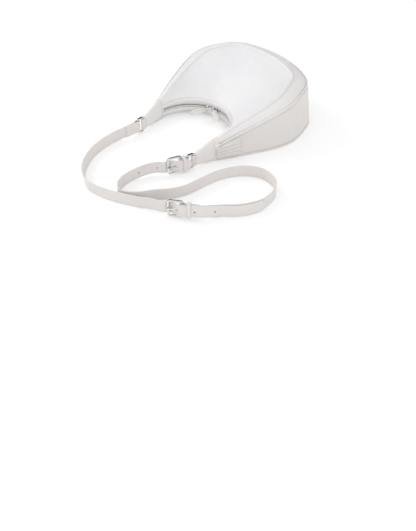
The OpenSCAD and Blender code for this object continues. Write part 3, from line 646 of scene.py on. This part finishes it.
def ridge():
    """The padded ridge: leather over a cord, with faint creases across it, lower near the caps."""
    cap_share, thin_l, crease_share, roundness = 0.55, 0.08, 0.05, 0.85
    mid = seam_line + inward_line * band(s_line)[:, None]
    base = seam_heights + ridge_rise - ridge_sunk
    near_cap = mix(cap_share, 1, np.clip(np.minimum(s_line, 2 - s_line) / thin_l, 0, 1))
    creases = waves(lifted(mid, base), 5, 9) + waves(lifted(mid, base), 30, 10)
    tall = ridge_round_h * (1 + crease_share * creases) * near_cap
    out = inward_line * ridge_round_w / 2
    rings = [lifted(mid - out * cos(a), base + sin(a) ** roundness * tall)
             for a in np.radians(np.linspace(180, 0, 19))]
    rings += [lifted(mid + out * x, base - z) for x, z in ((-0.95, 0.6), (-0.6, 1), (0.6, 1), (0.95, 0.6))]
    loft("ridge_bead", "front_ridge", np.stack(rings, 1), "front_leather", [top_lit_hide])


ridge()


def welt(name, node, edge, centre_z, *look):
    """Piping: a leather-covered cord with slight wrinkles."""
    proud, wrinkle_share, wrinkle_l = 0.6, 0.04, 3.4
    centre = lifted(edge + inward_line * (welt_d / 2 - proud), centre_z)
    rings = []
    for a in np.arange(16) * pi / 8:
        radius = welt_d / 2 * (1 + wrinkle_share * waves(centre + [0, 0, 3 * a], wrinkle_l, 21))
        rings.append(centre + lifted(-inward_line * (radius * cos(a))[:, None], radius * sin(a)))
    loft(name, node, np.stack(rings, 1), *look)


welt("front_piping", "front_welt", seam_line, seam_heights - welt_d / 2, "body_leather", [half_lit_hide])
welt("back_piping", "back_welt", base_line, floor_gap + welt_d / 2, "body_leather", [side_shade_hide])

# Zip

tape_gap = 0.4
tape_in = facing_t + tape_gap
tape_under_top = 3.4
front_tape_reach = 7.5
back_tape_reach = 7.3
tooth_reach = 1.0


def strip(name, node, out, low, high, thick, *look, seed=31, grooves=()):
    """A strip that stands on the mouth's curve, its shown side towards the mouth's middle."""
    s, t = np.meshgrid(s_line, np.linspace(0, 1, 26), indexing="ij")
    heights = mix(np.reshape(low, (-1, 1)), np.reshape(high, (-1, 1)), t)
    grid = faced(lifted(mouth_xy(s, out), heights), [0, -1, 0])
    grid = shaped(grid, 0, 0.06, (0.15, 0.15, 1.2), grooves, seed)
    skin(name, node, grid, thick, *look)
    return grid


upper = strip("front_facing_leather", "front_facing", 0, zip_z + zip_window / 2, mouth_heights, facing_t,
              "front_leather", [top_lit_hide], grooves=[(facing_row, 0.25)])
strip("back_facing_leather", "back_facing", 0, mouth_back_h, zip_z - zip_window / 2, facing_t,
      "body_leather", [half_lit_hide])
stitch_row("front_facing_stitches", *row_on(upper, facing_row), "front_leather", facing_row_start)
strip("front_tape", "zip_tape_front", tape_in, zip_z + tooth_reach,
      np.minimum(zip_z + front_tape_reach, mouth_heights - tape_under_top), tape_t,
      "zip_tape", [tape_cloth], seed=33)
strip("back_tape", "zip_tape_back", tape_in, zip_z - back_tape_reach, zip_z - tooth_reach, tape_t,
      "zip_tape", [tape_cloth], seed=35)


def zip_row():
    """Fine rounded teeth that mesh along the zip's middle."""
    pitch, shift, tooth_l, tooth_w = 1.1, 0.55, 1.7, 1.05
    radius = mouth_r + tape_in
    first = zip_short / mouth_r - radians(mouth_wrap)
    count = int((pi - 2 * first) * radius / pitch) + 1
    angles = np.linspace(first, pi - first, count)
    towards = -lifted(np.stack([np.cos(angles), np.sin(angles)], 1), 0)
    up = np.tile([0, 0, 1.0], (count, 1))
    side = np.where(np.arange(count) % 2, shift, -shift)[:, None]
    places = np.array([0, mouth_cy, zip_z]) - towards * (radius + tape_t / 2) + side * up
    capsules("zip_teeth_fine", "zip_teeth", places, up, towards, (tooth_l, tooth_w),
             "zip_teeth", [tooth_metal])


zip_row()

tag_loop_r = 1.78
tag_loop_h = 4.2
tag_hole_r = 0.78
tag_neck_w = 1.6
tag_neck_h = 4
tag_row = 1.5
tag_row_pitch = 2.2
tag_reach = tag_loop_r + 1.2
pull_l = 9
pull_x = -1.5


def tag(side, deg, turn, tag_turn):
    """Leather pull tag: a rounded plate with stitched rim, and the loop that holds it on its pull."""
    place = Matrix.Translation((0, mouth_cy, zip_z))
    for angle, x in ((deg, mouth_r + pull_x), (turn, -pull_l), (tag_turn, 0)):
        place = place @ Matrix.Rotation(radians(angle), 4, "Z") @ Matrix.Translation((x, 0, 0))
    place = np.array(place)
    look = ("strap_leather", [half_lit_hide])
    body = side + "_tag"

    def set_down(points):
        return np.asarray(points) @ place[:3, :3].T + place[:3, 3]

    def outline(inset):
        r = tag_w / 2 - inset
        far = -tag_reach - tag_l + tag_w / 2
        tip = [(far - r * cos(a), r * sin(a)) for a in np.radians(np.linspace(-90, 90, 25))]
        near = [(-tag_reach - inset - 0.6, r), (-tag_reach - inset, r - 0.9)]
        return tip + near + [(x, -y) for x, y in reversed(near)]

    levels = [(0.55, 1.0), (0.25, 0.92), (0.06, 0.7), (0, 0.35)]
    levels += [(inset, -share) for inset, share in reversed(levels)]
    rings = [set_down([(x, share * tag_t / 2, z) for x, z in outline(inset)]) for inset, share in levels]
    loft("tag_plate_" + side, "pull_tag_" + side, rings, *look, body=body)
    section = [(tag_hole_r, -1), (tag_hole_r, 1), (tag_loop_r - 0.3, 1), (tag_loop_r, 0.85),
               (tag_loop_r, -0.85), (tag_loop_r - 0.3, -1)]
    rings = [set_down([(r * cos(a), r * sin(a), share * tag_loop_h / 2) for r, share in section])
             for a in np.arange(32) * pi / 16]
    loft("tag_loop_" + side, None, rings, *look, closed=True, body=body)
    corners = [(y * tag_neck_w / 2, z * tag_neck_h / 2) for y, z in ((-1, -1), (1, -1), (1, 1), (-1, 1))]
    neck = [set_down([(x, y, z) for y, z in corners]) for x in (-tag_loop_r + 0.4, -tag_reach - 0.5)]
    loft("tag_neck_" + side, None, neck, *look, body=body)
    for face, label in ((-1, "under"), (1, "over")):
        line = set_down([(x, face * tag_t / 2, z) for x, z in outline(tag_row)])
        across = np.tile(place[:3, :3] @ [0, face, 0], (len(line), 1))
        stitch_row("tag_stitches_%s_%s" % (side, label), line, across, "strap_leather",
                   pitch=tag_row_pitch, body=body)


slider_left_deg = slider_right_deg + degrees((slider_l + slider_gap) / mouth_r)
tag("left", slider_left_deg, -15, -20)
tag("right", slider_right_deg, 15, 50)


def lining():
    """One thin skin from the front edge of the mouth, round the inside, to the back edge."""
    mouth_in, mouth_edge, clear, board_room, cloth_t = 4.0, 5.5, 0.4, 1.5, 0.8
    shares = [0.92, 0.75, 0.5, 0.25, 0.08]

    def columns(deep):
        down = np.array([0, 0, wall + clear + deep])
        room = inward_line * (wall + board_room + clear + deep)
        mouth = mouth_xy(s_line, mouth_in + deep)
        found = [lifted(mouth, zip_z + mouth_edge)]
        found += [field_at(s_line, np.full_like(s_line, k)) - down for k in shares]
        found += [lifted(seam_line + room, seam_heights - down[2]),
                  lifted(mix(base_line, seam_line, 0.5) + room, seam_heights / 2),
                  lifted(base_line + room, down[2])]
        found += [back_at(s_line, np.full_like(s_line, k)) + down for k in reversed(shares)]
        return found + [lifted(mouth, zip_z - mouth_edge)]

    outer, inner = columns(0), columns(cloth_t)
    sheet_mesh("lining_skin", "lining", np.stack(outer + inner[::-1], 1), len(outer), 0,
               "lining", [lining_cloth])


lining()

# The part's own pieces that stay in the scene

hardware = [piece + side for piece in ("zip_slider_", "zip_pull_", "ring_") for side in ("left", "right")]
hardware += [side + piece for side in ("side", "front") for piece in ("_buckle_frame", "_buckle_prong")]
kept = [("gusset_board", board_card), ("zip_stops", tooth_metal)] + [(name, nickel) for name in hardware]
for name, material in kept:
    nodes[name].data.materials.clear()
    nodes[name].data.materials.append(material)

# Straps: routes are lists of [x, y, height of the lower edge]

ring_z = (ring_h + wire_d) / 2 + floor_gap
buckle_z = (buckle_h + wire_d) / 2 + floor_gap
ring_lift = ring_z - strap_w / 2
buckle_lift = buckle_z - strap_w / 2
half_pair = (strap_t + seam_gap) / 2
loop_r = wire_d / 2 + turn_gap + strap_t / 2
ring_slack = 0.7
ring_loop_r = wire_d / 2 + ring_slack + strap_t / 2
loop_run = 2 * strap_t + wire_d
cap_run = wire_d / 2 + strap_t + turn_gap
over_loop = loop_r + strap_t + turn_gap
over_ring = ring_loop_r + strap_t + turn_gap
tail_gap = strap_t + turn_gap
tail_in = tab_l + ring_l / 2
lay = 100

horn_mid = mix(seam_xy(0.0), mouth_xy(0.0, 0), 0.5)
left_cap_dir = unit([0.38, -0.93])
right_cap_dir = unit([0.08, -1])
left_bar = horn_mid * [-1, 1] + cap_left_l * left_cap_dir
right_bar = horn_mid + cap_right_l * right_cap_dir
left_ring_dir = unit([0.12, -0.99])
right_ring_dir = unit([-0.03, -1])
left_strap_bar = left_bar + ring_l * left_ring_dir
right_strap_bar = right_bar + ring_l * right_ring_dir
side_dir = unit([-0.25, -0.97])
side_pivot = right_strap_bar + tab_l * side_dir
front_pivot = np.array([1.67, -2.74]) * lay
front_dir = unit([-0.71, -0.70])

# The bars that straps turn round: place, direction towards the frame's far bar, height of the lower edge
side_bar = (side_pivot, side_dir, ring_lift)
front_bar = (front_pivot, front_dir, buckle_lift)
left_end = (left_strap_bar, -left_ring_dir, ring_lift)


def local(spot, direction, z, pairs):
    """Points given from a bar: x away from its frame, y to the left of its direction."""
    return [np.append(spot - x * direction + y * left_of(direction), z) for x, y in pairs]


def turned(r, first=90, end=-90, step=6):
    angles = np.radians(np.linspace(first, end, int(abs(end - first) / step) + 1))
    return [(-r * cos(a), r * sin(a)) for a in angles]


def threaded(lead_share):
    """Through a buckle: under the far bar, up through the frame and over the pivot bar."""
    return [(-buckle_l * lead_share, -loop_r / 2), (-buckle_l, -loop_r), (-buckle_l * 5 / 6, -loop_r),
            (-buckle_l / 4, over_loop * 3 / 4), (0, over_loop)]


def smooth_route(points, n=12):
    """Smooth curve through points, the way the part's source draws its strap routes."""
    p = np.array([2 * points[0] - points[1], *points, 2 * points[-1] - points[-2]])
    u = (np.arange(n) / n)[:, None]
    found = [0.5 * (2 * b + (c - a) * u + (2 * a - 5 * b + 4 * c - d) * u * u
                    + (3 * b - a - 3 * c + d) * u ** 3) for a, b, c, d in zip(p, p[1:], p[2:], p[3:])]
    found = np.concatenate(found + [p[-2:-1]])
    found[:, 2] = np.maximum(found[:, 2], 0)
    return list(found)


def on_floor(shares):
    return [np.array([*p, 0][:3]) * lay for p in shares]


left_route_shares = [[-0.585, -2.40], [-0.565, -2.55], [-0.52, -2.74], [-0.44, -2.94], [-0.32, -3.12],
                     [-0.15, -3.30], [0.08, -3.44], [0.32, -3.49], [0.58, -3.42], [0.82, -3.30],
                     [1.08, -3.13], [1.26, -3.01, 0.025]]
right_route_shares = [[0.60, -2.44, 0.04], [0.54, -2.56, 0.03], [0.505, -2.71, 0.015], [0.50, -2.89],
                      [0.545, -3.06], [0.635, -3.18], [0.77, -3.235], [0.90, -3.17], [1.01, -3.03],
                      [1.10, -2.83], [1.22, -2.62], [1.28, -2.42], [1.285, -2.18], [1.275, -1.95],
                      [1.29, -1.76], [1.34, -1.57], [1.42, -1.42], [1.53, -1.30], [1.66, -1.225],
                      [1.79, -1.21], [1.92, -1.225], [2.04, -1.29], [2.14, -1.41], [2.205, -1.58],
                      [2.215, -1.76], [2.17, -1.94], [2.08, -2.115], [1.96, -2.285]]

over_side = [(tail_in, over_ring), (tab_l, over_ring)] + threaded(1.3)[::-1]
pair = [(loop_run, half_pair), (sewn_l, half_pair)]
other_pair = [(x, -y) for x, y in pair]
right_run = smooth_route(local(*side_bar, over_side) + on_floor(right_route_shares)
                         + local(*front_bar, pair[::-1]))
left_run = smooth_route(local(*left_end, pair) + on_floor(left_route_shares)
                        + local(*front_bar, threaded(1.5)))
front_fold = local(*front_bar, turned(loop_r) + other_pair)
ring_fold = local(*left_end, other_pair[::-1] + turned(ring_loop_r, -90, 90))


def right_sides(line):
    """The level direction to the right of a line at each of its points."""
    return lifted(-left_of(unit(np.gradient(line[:, :2], axis=0))), 0)


def tail_route():
    """The left strap's tail lies along the outside of the right strap, and bows a little away from it."""
    first, bow_w, bow_from, bow_l = 6, 1.4, 30, tail_l - 22
    back = np.array(right_run[::-1])
    runs = run_along(back)
    away = tail_gap + bow_w * np.sin(pi * np.clip((runs - bow_from) / bow_l, 0, 1)) ** 2
    beside = back + right_sides(back) * away[:, None]
    return list(beside[(runs > first) & (runs < tail_l)])


def strap_line(route, step=0.8, sigma=1.1, least_z=0.1):
    line = blur(resample(route, step), sigma)
    line[:, 2] = np.maximum(line[:, 2], least_z)
    return line


def strap_mesh(name, node, line, lean=0, round_ends=(0, 0)):
    """An upright strap along a line of lower-edge points, creased along both painted edges."""
    corner, inset, crease, crease_reach, roundness = 0.75, 1.8, 0.22, 0.5, 2.4
    a = np.radians(np.broadcast_to(lean, len(line)))[:, None]
    up, side = np.array([0, 0, 1.0]), right_sides(line)
    up, side = up * np.cos(a) + side * np.sin(a), side * np.cos(a) - up * np.sin(a)
    low = [corner, inset - crease_reach, inset, inset + crease_reach, strap_w * 0.22, strap_w * 0.36]
    heights = low + [strap_w / 2] + [strap_w - h for h in reversed(low)]
    half = strap_t / 2
    face = [(half - crease if h in (inset, strap_w - inset) else half, h) for h in heights]
    arc = [(half - corner + corner * cos(a), corner * sin(a)) for a in np.radians([22, 45, 68, 90])]
    top = [(w, strap_w - corner + h) for w, h in arc]
    bottom = [(w, corner - h) for w, h in arc]
    section = face + top + [(-w, h) for w, h in reversed(top)] + [(-w, h) for w, h in reversed(face)]
    section += [(-w, h) for w, h in bottom] + list(reversed(bottom))
    run = run_along(line)
    scale = np.ones((len(line), 1))
    for reach, away in zip(round_ends, (run, run[-1] - run)):
        if reach:
            scale[:, 0] *= np.sqrt(1 - (1 - np.clip(away / reach, 0.02, 1)) ** roundness)
    rings = [line + side * w + up * (strap_w / 2 + (h - strap_w / 2) * scale) for w, h in section]
    obj = loft(name, node, np.stack(rings, 1), "strap_leather", [strap_shade_hide, edge_paint, hole_wall_shade])
    rim = corner * 0.99
    painted = {j for j, (w, h) in enumerate(section) if h < rim or h > strap_w - rim}
    for polygon in obj.data.polygons:
        if all(v % len(section) in painted for v in polygon.vertices):
            polygon.material_index = 1
    return obj


def prism_tool(outline, reach):
    """A mesh that only serves to cut another: an outline drawn out to both sides."""
    n = len(outline)
    points = np.concatenate([outline - reach, outline + reach])
    faces = tube_faces(2, n) + [tuple(reversed(range(n))), tuple(range(n, 2 * n))]
    mesh = bpy.data.meshes.new("tool")
    mesh.from_pydata((points * MM).tolist(), [], outward(points, faces))
    return add_object("tool", mesh)


def slot_tool(spot, direction, low, middle, half_length, half_height):
    """A round-ended slot at a distance from a bar along a direction."""
    arc = [(half_length - half_height + half_height * cos(a), half_height * sin(a))
           for a in np.radians(np.linspace(-90, 90, 9))]
    outline = [np.append(spot + direction * (middle + x), low + strap_w / 2 + h)
               for x, h in arc + [(-x, -h) for x, h in arc]]
    return prism_tool(np.array(outline), np.append(left_of(direction), 0) * (loop_r + strap_t))


def holes_at(line, runs):
    """The middle and the axis of each punched hole, at distances along a strap's line."""
    found = []
    for run in runs:
        along = unit((walk(line, run + 1) - walk(line, run - 1))[:2])
        found.append((walk(line, run) + [0, 0, strap_w / 2], np.append(left_of(along), 0)))
    return found


def punch(obj, slots, holes):
    """Cuts the slots and round holes in a strap, and gives the holes' walls a near black brown: the cut edge
    with painted shade inside the holes.
    """
    sides, reach_share, level = 24, 1.2, 0.3
    turns = (2 * pi * np.arange(sides) / sides)[:, None]
    tools = []
    for place, axis in holes:
        across = unit(np.cross(axis, [0.3, 0.5, 0.81]))
        ring = place + hole_d / 2 * (across * np.cos(turns) + np.cross(axis, across) * np.sin(turns))
        tools.append(prism_tool(ring, axis * strap_t * reach_share))
    cut(obj, slots + tools)
    # Faces on a hole's wall take the dark material, painted shade.
    for polygon in obj.data.polygons:
        for place, axis in holes:
            off = np.array(polygon.center) - place * MM
            off = off - axis * (off @ axis)
            if np.linalg.norm(off) < hole_d / 2 * MM and abs(axis @ polygon.normal) < level:
                polygon.material_index = 2


def nearest_run(line, spot):
    return run_along(line)[np.argmin(np.linalg.norm(line[:, :2] - spot, axis=1))]


# A slot's middle from its bar, its half length and its half height
prong_slot = (buckle_l * 0.417, buckle_l * 0.334, 1.4)
eye_slot = (1.5, 4.9, 1.6)

# The left strap leans over where it bends most
lean_deg = 6
lean_reach = 55
lean_spot = np.array([0.05, -3.43]) * lay

right_line = strap_line(right_run + front_fold)
strap_right = strap_mesh("strap_leather_right", "strap_right", right_line, round_ends=(9, 0))
punch(strap_right, [slot_tool(*side_bar, *prong_slot), slot_tool(*front_bar, *eye_slot)],
      holes_at(right_line, [tail_in + buckle_l / 2 + k * hole_pitch for k in (1, 2)]))

left_line = strap_line(ring_fold + left_run + tail_route())
lean = lean_deg * np.exp(-((run_along(left_line) - nearest_run(left_line, lean_spot)) / lean_reach) ** 2)
strap_left = strap_mesh("strap_leather_left", "strap_left", left_line, lean, round_ends=(0, 11))
pivot_run = nearest_run(left_line, front_pivot)
punch(strap_left, [slot_tool(*front_bar, *prong_slot)],
      holes_at(left_line, [pivot_run - buckle_l / 2 + k * hole_pitch for k in (1, 2)]))


def cross_stitches(name, spot, direction, z, y):
    """A short upright row of stitches across a strap, by the sewn end of a fold."""
    count, rim, from_end, margin, pitch = 20, 2.2, 2.6, 0.3, 2.6
    path = [local(spot, direction, z + h, [(sewn_l - from_end, y)])[0]
            for h in np.linspace(rim, strap_w - rim, count)]
    normal = np.append(left_of(direction) * np.sign(y), 0)
    stitch_row(name, path, np.tile(normal, (count, 1)), "strap_leather", margin, pitch)


outer_y = half_pair + strap_t / 2
for label, bar in (("left", left_end), ("front", front_bar)):
    cross_stitches(label + "_end_in_stitches", *bar, -outer_y)
    cross_stitches(label + "_end_out_stitches", *bar, outer_y)


def loop_band(name, node, spot, direction, low, pairs):
    return strap_mesh(name, node, strap_line(local(spot, direction, low, pairs), 0.5, 1.2))


leg_l = 0.8
leg = [(cap_run, half_pair), (cap_run - leg_l, half_pair)]
cap_fold = leg + turned(loop_r, 120, -120) + [(x, -y) for x, y in reversed(leg)]
loop_band("cap_loop_leather_left", "cap_loop_left", left_bar, left_cap_dir, ring_lift, cap_fold)
loop_band("cap_loop_leather_right", "cap_loop_right", right_bar, right_cap_dir, ring_lift, cap_fold)

pinch = half_pair + turn_gap
near, far = tab_l * 0.35, tab_l * 0.65
tab = loop_band("tab_leather", "buckle_tab", *side_bar,
                [(tab_l / 2, pinch), (near, pinch)] + turned(loop_r, 120, -120)
                + [(near, -pinch), (far, -pinch)]
                + [(tab_l - x, -y) for x, y in turned(ring_loop_r, 120, -120)]
                + [(far, pinch), (tab_l / 2 + seam_gap, pinch)])
cut(tab, [slot_tool(*side_bar, *eye_slot)])

# Horn ends: gathered patches and caps

section_side = 22
leather_least_z = 0.05


def horn_section(s, grow):
    """The bag's section at a station near a horn end, evenly along its gusset, top, mouth and bottom."""
    fine, few, bead_rise, softness = 40, 12, 1, 1.2
    t, at_s = np.linspace(0, 1, fine), np.full(fine, s)
    bead = lifted(seam_xy(s) + inward(s) * band(s), seam_h(s) + ridge_rise + bead_rise)
    sides = [gusset_at(at_s, t),
             np.concatenate([[lifted(seam_xy(s), seam_h(s))], band_at(at_s, t), [bead], field_at(at_s, t)]),
             lifted(mouth_xy(at_s[:few], 0), np.linspace(front_mouth_h(s), mouth_back_h, few)),
             back_at(at_s, t[::-1])]
    ring = np.concatenate([walk(p, run_along(p)[-1] * np.arange(section_side) / section_side) for p in sides])
    along = unit(np.roll(ring, -1, 0) - np.roll(ring, 1, 0))
    middle = ring.mean(0)
    away = np.cross(along, unit(np.cross(ring[0] - middle, ring[section_side] - middle)))
    if np.sum(away * (ring - middle)) < 0:
        away = -away
    ring = blur_ring(ring + away * grow, softness)
    ring[:, 2] = np.maximum(ring[:, 2], leather_least_z)
    return ring


def cap_end_ring(bar, direction):
    """The flat end of a cap, point for point with a horn's section."""
    half_w, half_h, softness = 3, strap_w / 2, 1.6
    finish = bar - direction * (cap_run + seam_gap)
    corners = [(1, -1), (1, 1), (-1, 1), (-1, -1), (1, -1)]
    pairs = walk(corners, np.arange(4 * section_side) * 2 / section_side)
    return blur_ring(np.array([np.append(finish + left_of(direction) * w * half_w, ring_z + h * half_h)
                               for w, h in pairs]), softness)


def horn_cap(side, bar, direction, flip):
    """Leather cap: its rolled lip sits over the horn's end, and it narrows to the loop of the ring."""
    lip = [(0.0155, 0.1), (0.016, 0.6), (0.015, 1), (0.013, 1.15), (0.01, 0.95), (0.006, 0.85), (0, 0.8)]
    gathers, twist, gather_depth, gather_start, gather_fade = 17, 3, 0.35, 0.04, 0.16
    ease, swell, swell_l, row, pitch = 0.6, 0.3, 16, len(lip) + 2, 2.6
    rings = [horn_section(s, grow) for s, grow in lip]
    start, stop = rings[-1], cap_end_ring(bar, direction)
    shares = np.linspace(0, 1, 46)[1:]
    rings = np.array(rings + [mix(start, stop, mix(e, e * e * (3 - 2 * e), ease)) for e in shares])
    normals = unit(np.cross(np.gradient(rings, axis=0), np.roll(rings, -1, 1) - np.roll(rings, 1, 1)) + 1e-9)
    if np.sum(normals * (rings - rings.mean(1, keepdims=True))) < 0:
        normals = -normals
    after = np.concatenate([np.zeros(len(lip)), shares])[:, None]
    around = np.arange(rings.shape[1]) * 2 * pi / rings.shape[1]
    folds = gather_depth * np.sin(gathers * around + twist * after)
    folds = folds * np.exp(-after / gather_fade) * np.clip(after / gather_start, 0, 1)
    soft = swell * waves(rings, swell_l, 41) * np.sin(pi * after) + folds
    rings = rings + normals * soft[..., None]
    rings[..., 2] = np.maximum(rings[..., 2], leather_least_z)
    loft("cap_leather_" + side, "horn_cap_" + side, rings * flip, "body_leather", [cap_half_shade_hide])
    line, across = (part[row, 2:64] * flip for part in (rings, normals))
    stitch_row("cap_stitches_" + side, line, across, "body_leather", pitch=pitch)


horn_cap("right", right_bar, right_cap_dir, [1, 1, 1])
horn_cap("left", left_bar * [-1, 1], left_cap_dir * [-1, 1], [-1, 1, 1])


def gathered_patch(side, flip):
    """Overlay at a horn end of the gusset, gathered into pleats that fade away from the cap."""
    span = patch_shown_l / body_l
    first, low_share, high_share, fade_share, fold_sharpness = 0.006, 0.07, 0.93, 0.35, 1.22
    rim_drop, rim_reach, swell, swell_l, pitch = 0.35, 1.4, 0.1, 9, 2.8
    s, t = np.meshgrid(np.linspace(first, span, 70), np.linspace(low_share, high_share, 150), indexing="ij")
    length = s / span
    fade = np.clip((1 - length) / fade_share, 0, 1) ** 0.5
    fold_shares = ((0, 0), (0.13, 0.1), (0.36, 0.25), (0.58, 0.4), (0.83, 0.6), (0.94, 0.94))
    folds = [mix(a, b, length) for a, b in fold_shares]
    pleats = np.zeros_like(t)
    for low, high, depth in zip(folds, folds[1:], (1.0, 1.7, 1.8, 1.9, 2.5)):
        across = np.clip((2 * (t - low) / (high - low) - 1) * fold_sharpness, -1, 1)
        pleats += depth * np.sqrt(1 - np.abs(across) ** 3)
    rim = rim_drop * np.exp(-((1 - length) * patch_shown_l / rim_reach) ** 2)
    soft = swell * waves(gusset_at(s, t), swell_l, 51)
    grid = gusset_at(s, t, rim - seam_gap - patch_t - pleats * fade - soft) * flip
    grid = faced(grid, np.append(-inward(0.05), 0) * flip)
    skin("patch_leather_" + side, "gusset_patch_" + side, grid, patch_t, "body_leather", [side_shade_hide])
    row = 5 if grid[0, 50, 1] > grid[-1, 50, 1] else -6
    line, across = (part[row, 6:-6] for part in (grid, grid_normals(grid)))
    stitch_row("patch_stitches_" + side, line, across, "body_leather", pitch=pitch)


gathered_patch("right", [1, 1, 1])
gathered_patch("left", [-1, 1, 1])

# Keepers

def rounded_box(x_low, x_high, half, corner, steps):
    """Outline of a box with round corners, from its lower and upper x and its half height."""
    turns = np.radians(np.linspace(0, 90, steps))
    found = []
    for k, (x, z) in enumerate(((x_high - corner, half - corner), (x_low + corner, half - corner),
                                (x_low + corner, corner - half), (x_high - corner, corner - half))):
        found += [(x + corner * cos(a + k * pi / 2), z + corner * sin(a + k * pi / 2))
                  for a in turns]
    return found


def keeper(name, node, spot, direction, z, x_from, low, high):
    """A narrow band of leather round the straps, with round corners and edges."""
    thick, corner, rounding, step = 0.8, 1.8, 0.5, 0.6
    path = rounded_box(low - thick, high + thick, strap_w / 2 + turn_gap + thick, corner, 9)
    path = resample(path + path[:1], step)[:-1]
    normal = -left_of(unit(np.roll(path, -1, 0) - np.roll(path, 1, 0)))
    section = rounded_box(-keeper_w / 2, keeper_w / 2, thick, rounding, 4)
    rings = [[local(spot, direction, z + strap_w / 2 + p[1] + n[1] * v,
                    [(x_from + keeper_w / 2 + u, p[0] + n[0] * v)])[0] for u, v in section]
             for p, n in zip(path, normal)]
    loft(name, node, rings, "strap_leather", [strap_shade_hide], closed=True)


keeper_gap = 0.8
keeper("side_keeper_leather", "side_keeper", *side_bar, tab_l - wire_d / 2 - turn_gap - keeper_w,
       -(ring_loop_r + strap_t / 2 + turn_gap), over_ring + strap_t / 2 + turn_gap)
keeper("front_keeper_leather", "front_keeper", *front_bar, loop_run,
       -(half_pair + strap_t / 2 + keeper_gap), over_loop + turn_gap)

# Stage

floor_half = 6
lamp_aim = (0.02, -0.1, 0.03)
floor_mesh = bpy.data.meshes.new("floor")
corners = [(-1, -1), (1, -1), (1, 1), (-1, 1)]
floor_mesh.from_pydata([(x * floor_half, y * floor_half, 0) for x, y in corners], [], [(0, 1, 2, 3)])
add_object("floor", floor_mesh)


def floor_material():
    """White where it is lit, with the object's shadow; plain white paper for the light that it gives back."""
    shade = Shading(bpy.data.materials.new("floor_paint"))
    matt = shade.add("BsdfDiffuse", {"Color": (0.8, 0.8, 0.8, 1)})
    glow = shade.add("Emission", {"Color": (1, 1, 1, 1), "Strength": 0.30})
    paper = shade.add("BsdfDiffuse", {"Color": (0.88, 0.88, 0.87, 1)})
    both = shade.add("AddShader", {0: matt, 1: glow})
    pick = shade.add("MixShader", {0: shade.rays("Camera", "Glossy", "Transmission"), 1: paper, 2: both})
    return shade.finished("Material Output", {"Surface": pick})


floor_mesh.materials.append(floor_material())


def studio_world():
    """Even white light. The camera sees white. Shiny pieces see bright white, with black in a low band
    round the studio and on its far side."""
    shade = Shading(bpy.data.worlds.new("world"), "Generated")
    far_way = (-0.75, 0.66, 0)
    height = shade.add("SeparateXYZ", {"Vector": shade.place}, "Z")
    low_band = shade.math("MULTIPLY", shade.ranged(height, 0.05, 0.10, 0, 1),
                          shade.ranged(height, 0.30, 0.42, 1, 0))
    far_side = shade.add("VectorMath", {0: shade.place, 1: far_way}, "Value", operation="DOT_PRODUCT")
    far_side = shade.math("MULTIPLY", shade.ranged(far_side, -0.40, -0.25, 0, 1),
                          shade.ranged(height, 0.97, 0.99, 1, 0))
    dark = shade.math("MAXIMUM", low_band, far_side)
    mirrored = shade.add("Background", {"Color": (1, 1, 1, 1), "Strength": shade.ranged(dark, 0, 1, 1.1, 0)})
    white = shade.add("Background", {"Color": (1, 1, 1, 1), "Strength": 1.0})
    even = shade.tree.nodes["Background"]
    shade.wire(even, {"Color": (0.985, 0.99, 1.0, 1), "Strength": 0.84})
    pick = shade.add("MixShader", {0: shade.rays("Glossy"), 1: even.outputs[0], 2: mirrored})
    pick = shade.add("MixShader", {0: shade.rays("Camera", "Transmission"), 1: pick, 2: white})
    bpy.context.scene.world = shade.finished("World Output", {"Surface": pick})


studio_world()


def lamp(name, place, size, watts):
    light = bpy.data.lights.new(name, "AREA")
    light.shape = "DISK"
    light.size = size
    light.energy = watts
    obj = add_object(name, light)
    obj.location = place
    obj.rotation_euler = (Vector(lamp_aim) - Vector(place)).to_track_quat("-Z", "Y").to_euler()


lamp("key", (-1.2, -0.82, 1.0), 1.1, 8.0)
lamp("fill", (1.45, -0.8, 0.8), 1.2, 3.1)


def photo_camera():
    """The photograph's viewing angle."""
    turn, tilt = radians(52.97), radians(43.852)
    aim, distance = Vector((0.268951, -0.304887, 0)), 0.912976
    look = Vector((-sin(turn) * cos(tilt), cos(turn) * cos(tilt), -sin(tilt)))
    lens = bpy.data.cameras.new("camera")
    lens.sensor_width = 36
    lens.lens = 46.328
    lens.clip_start = 0.01
    camera = add_object("camera", lens)
    camera.location = aim - look * distance
    camera.rotation_euler = look.to_track_quat("-Z", "Y").to_euler()
    bpy.context.scene.camera = camera


photo_camera()
bpy.context.scene.view_settings.view_transform = "Standard"
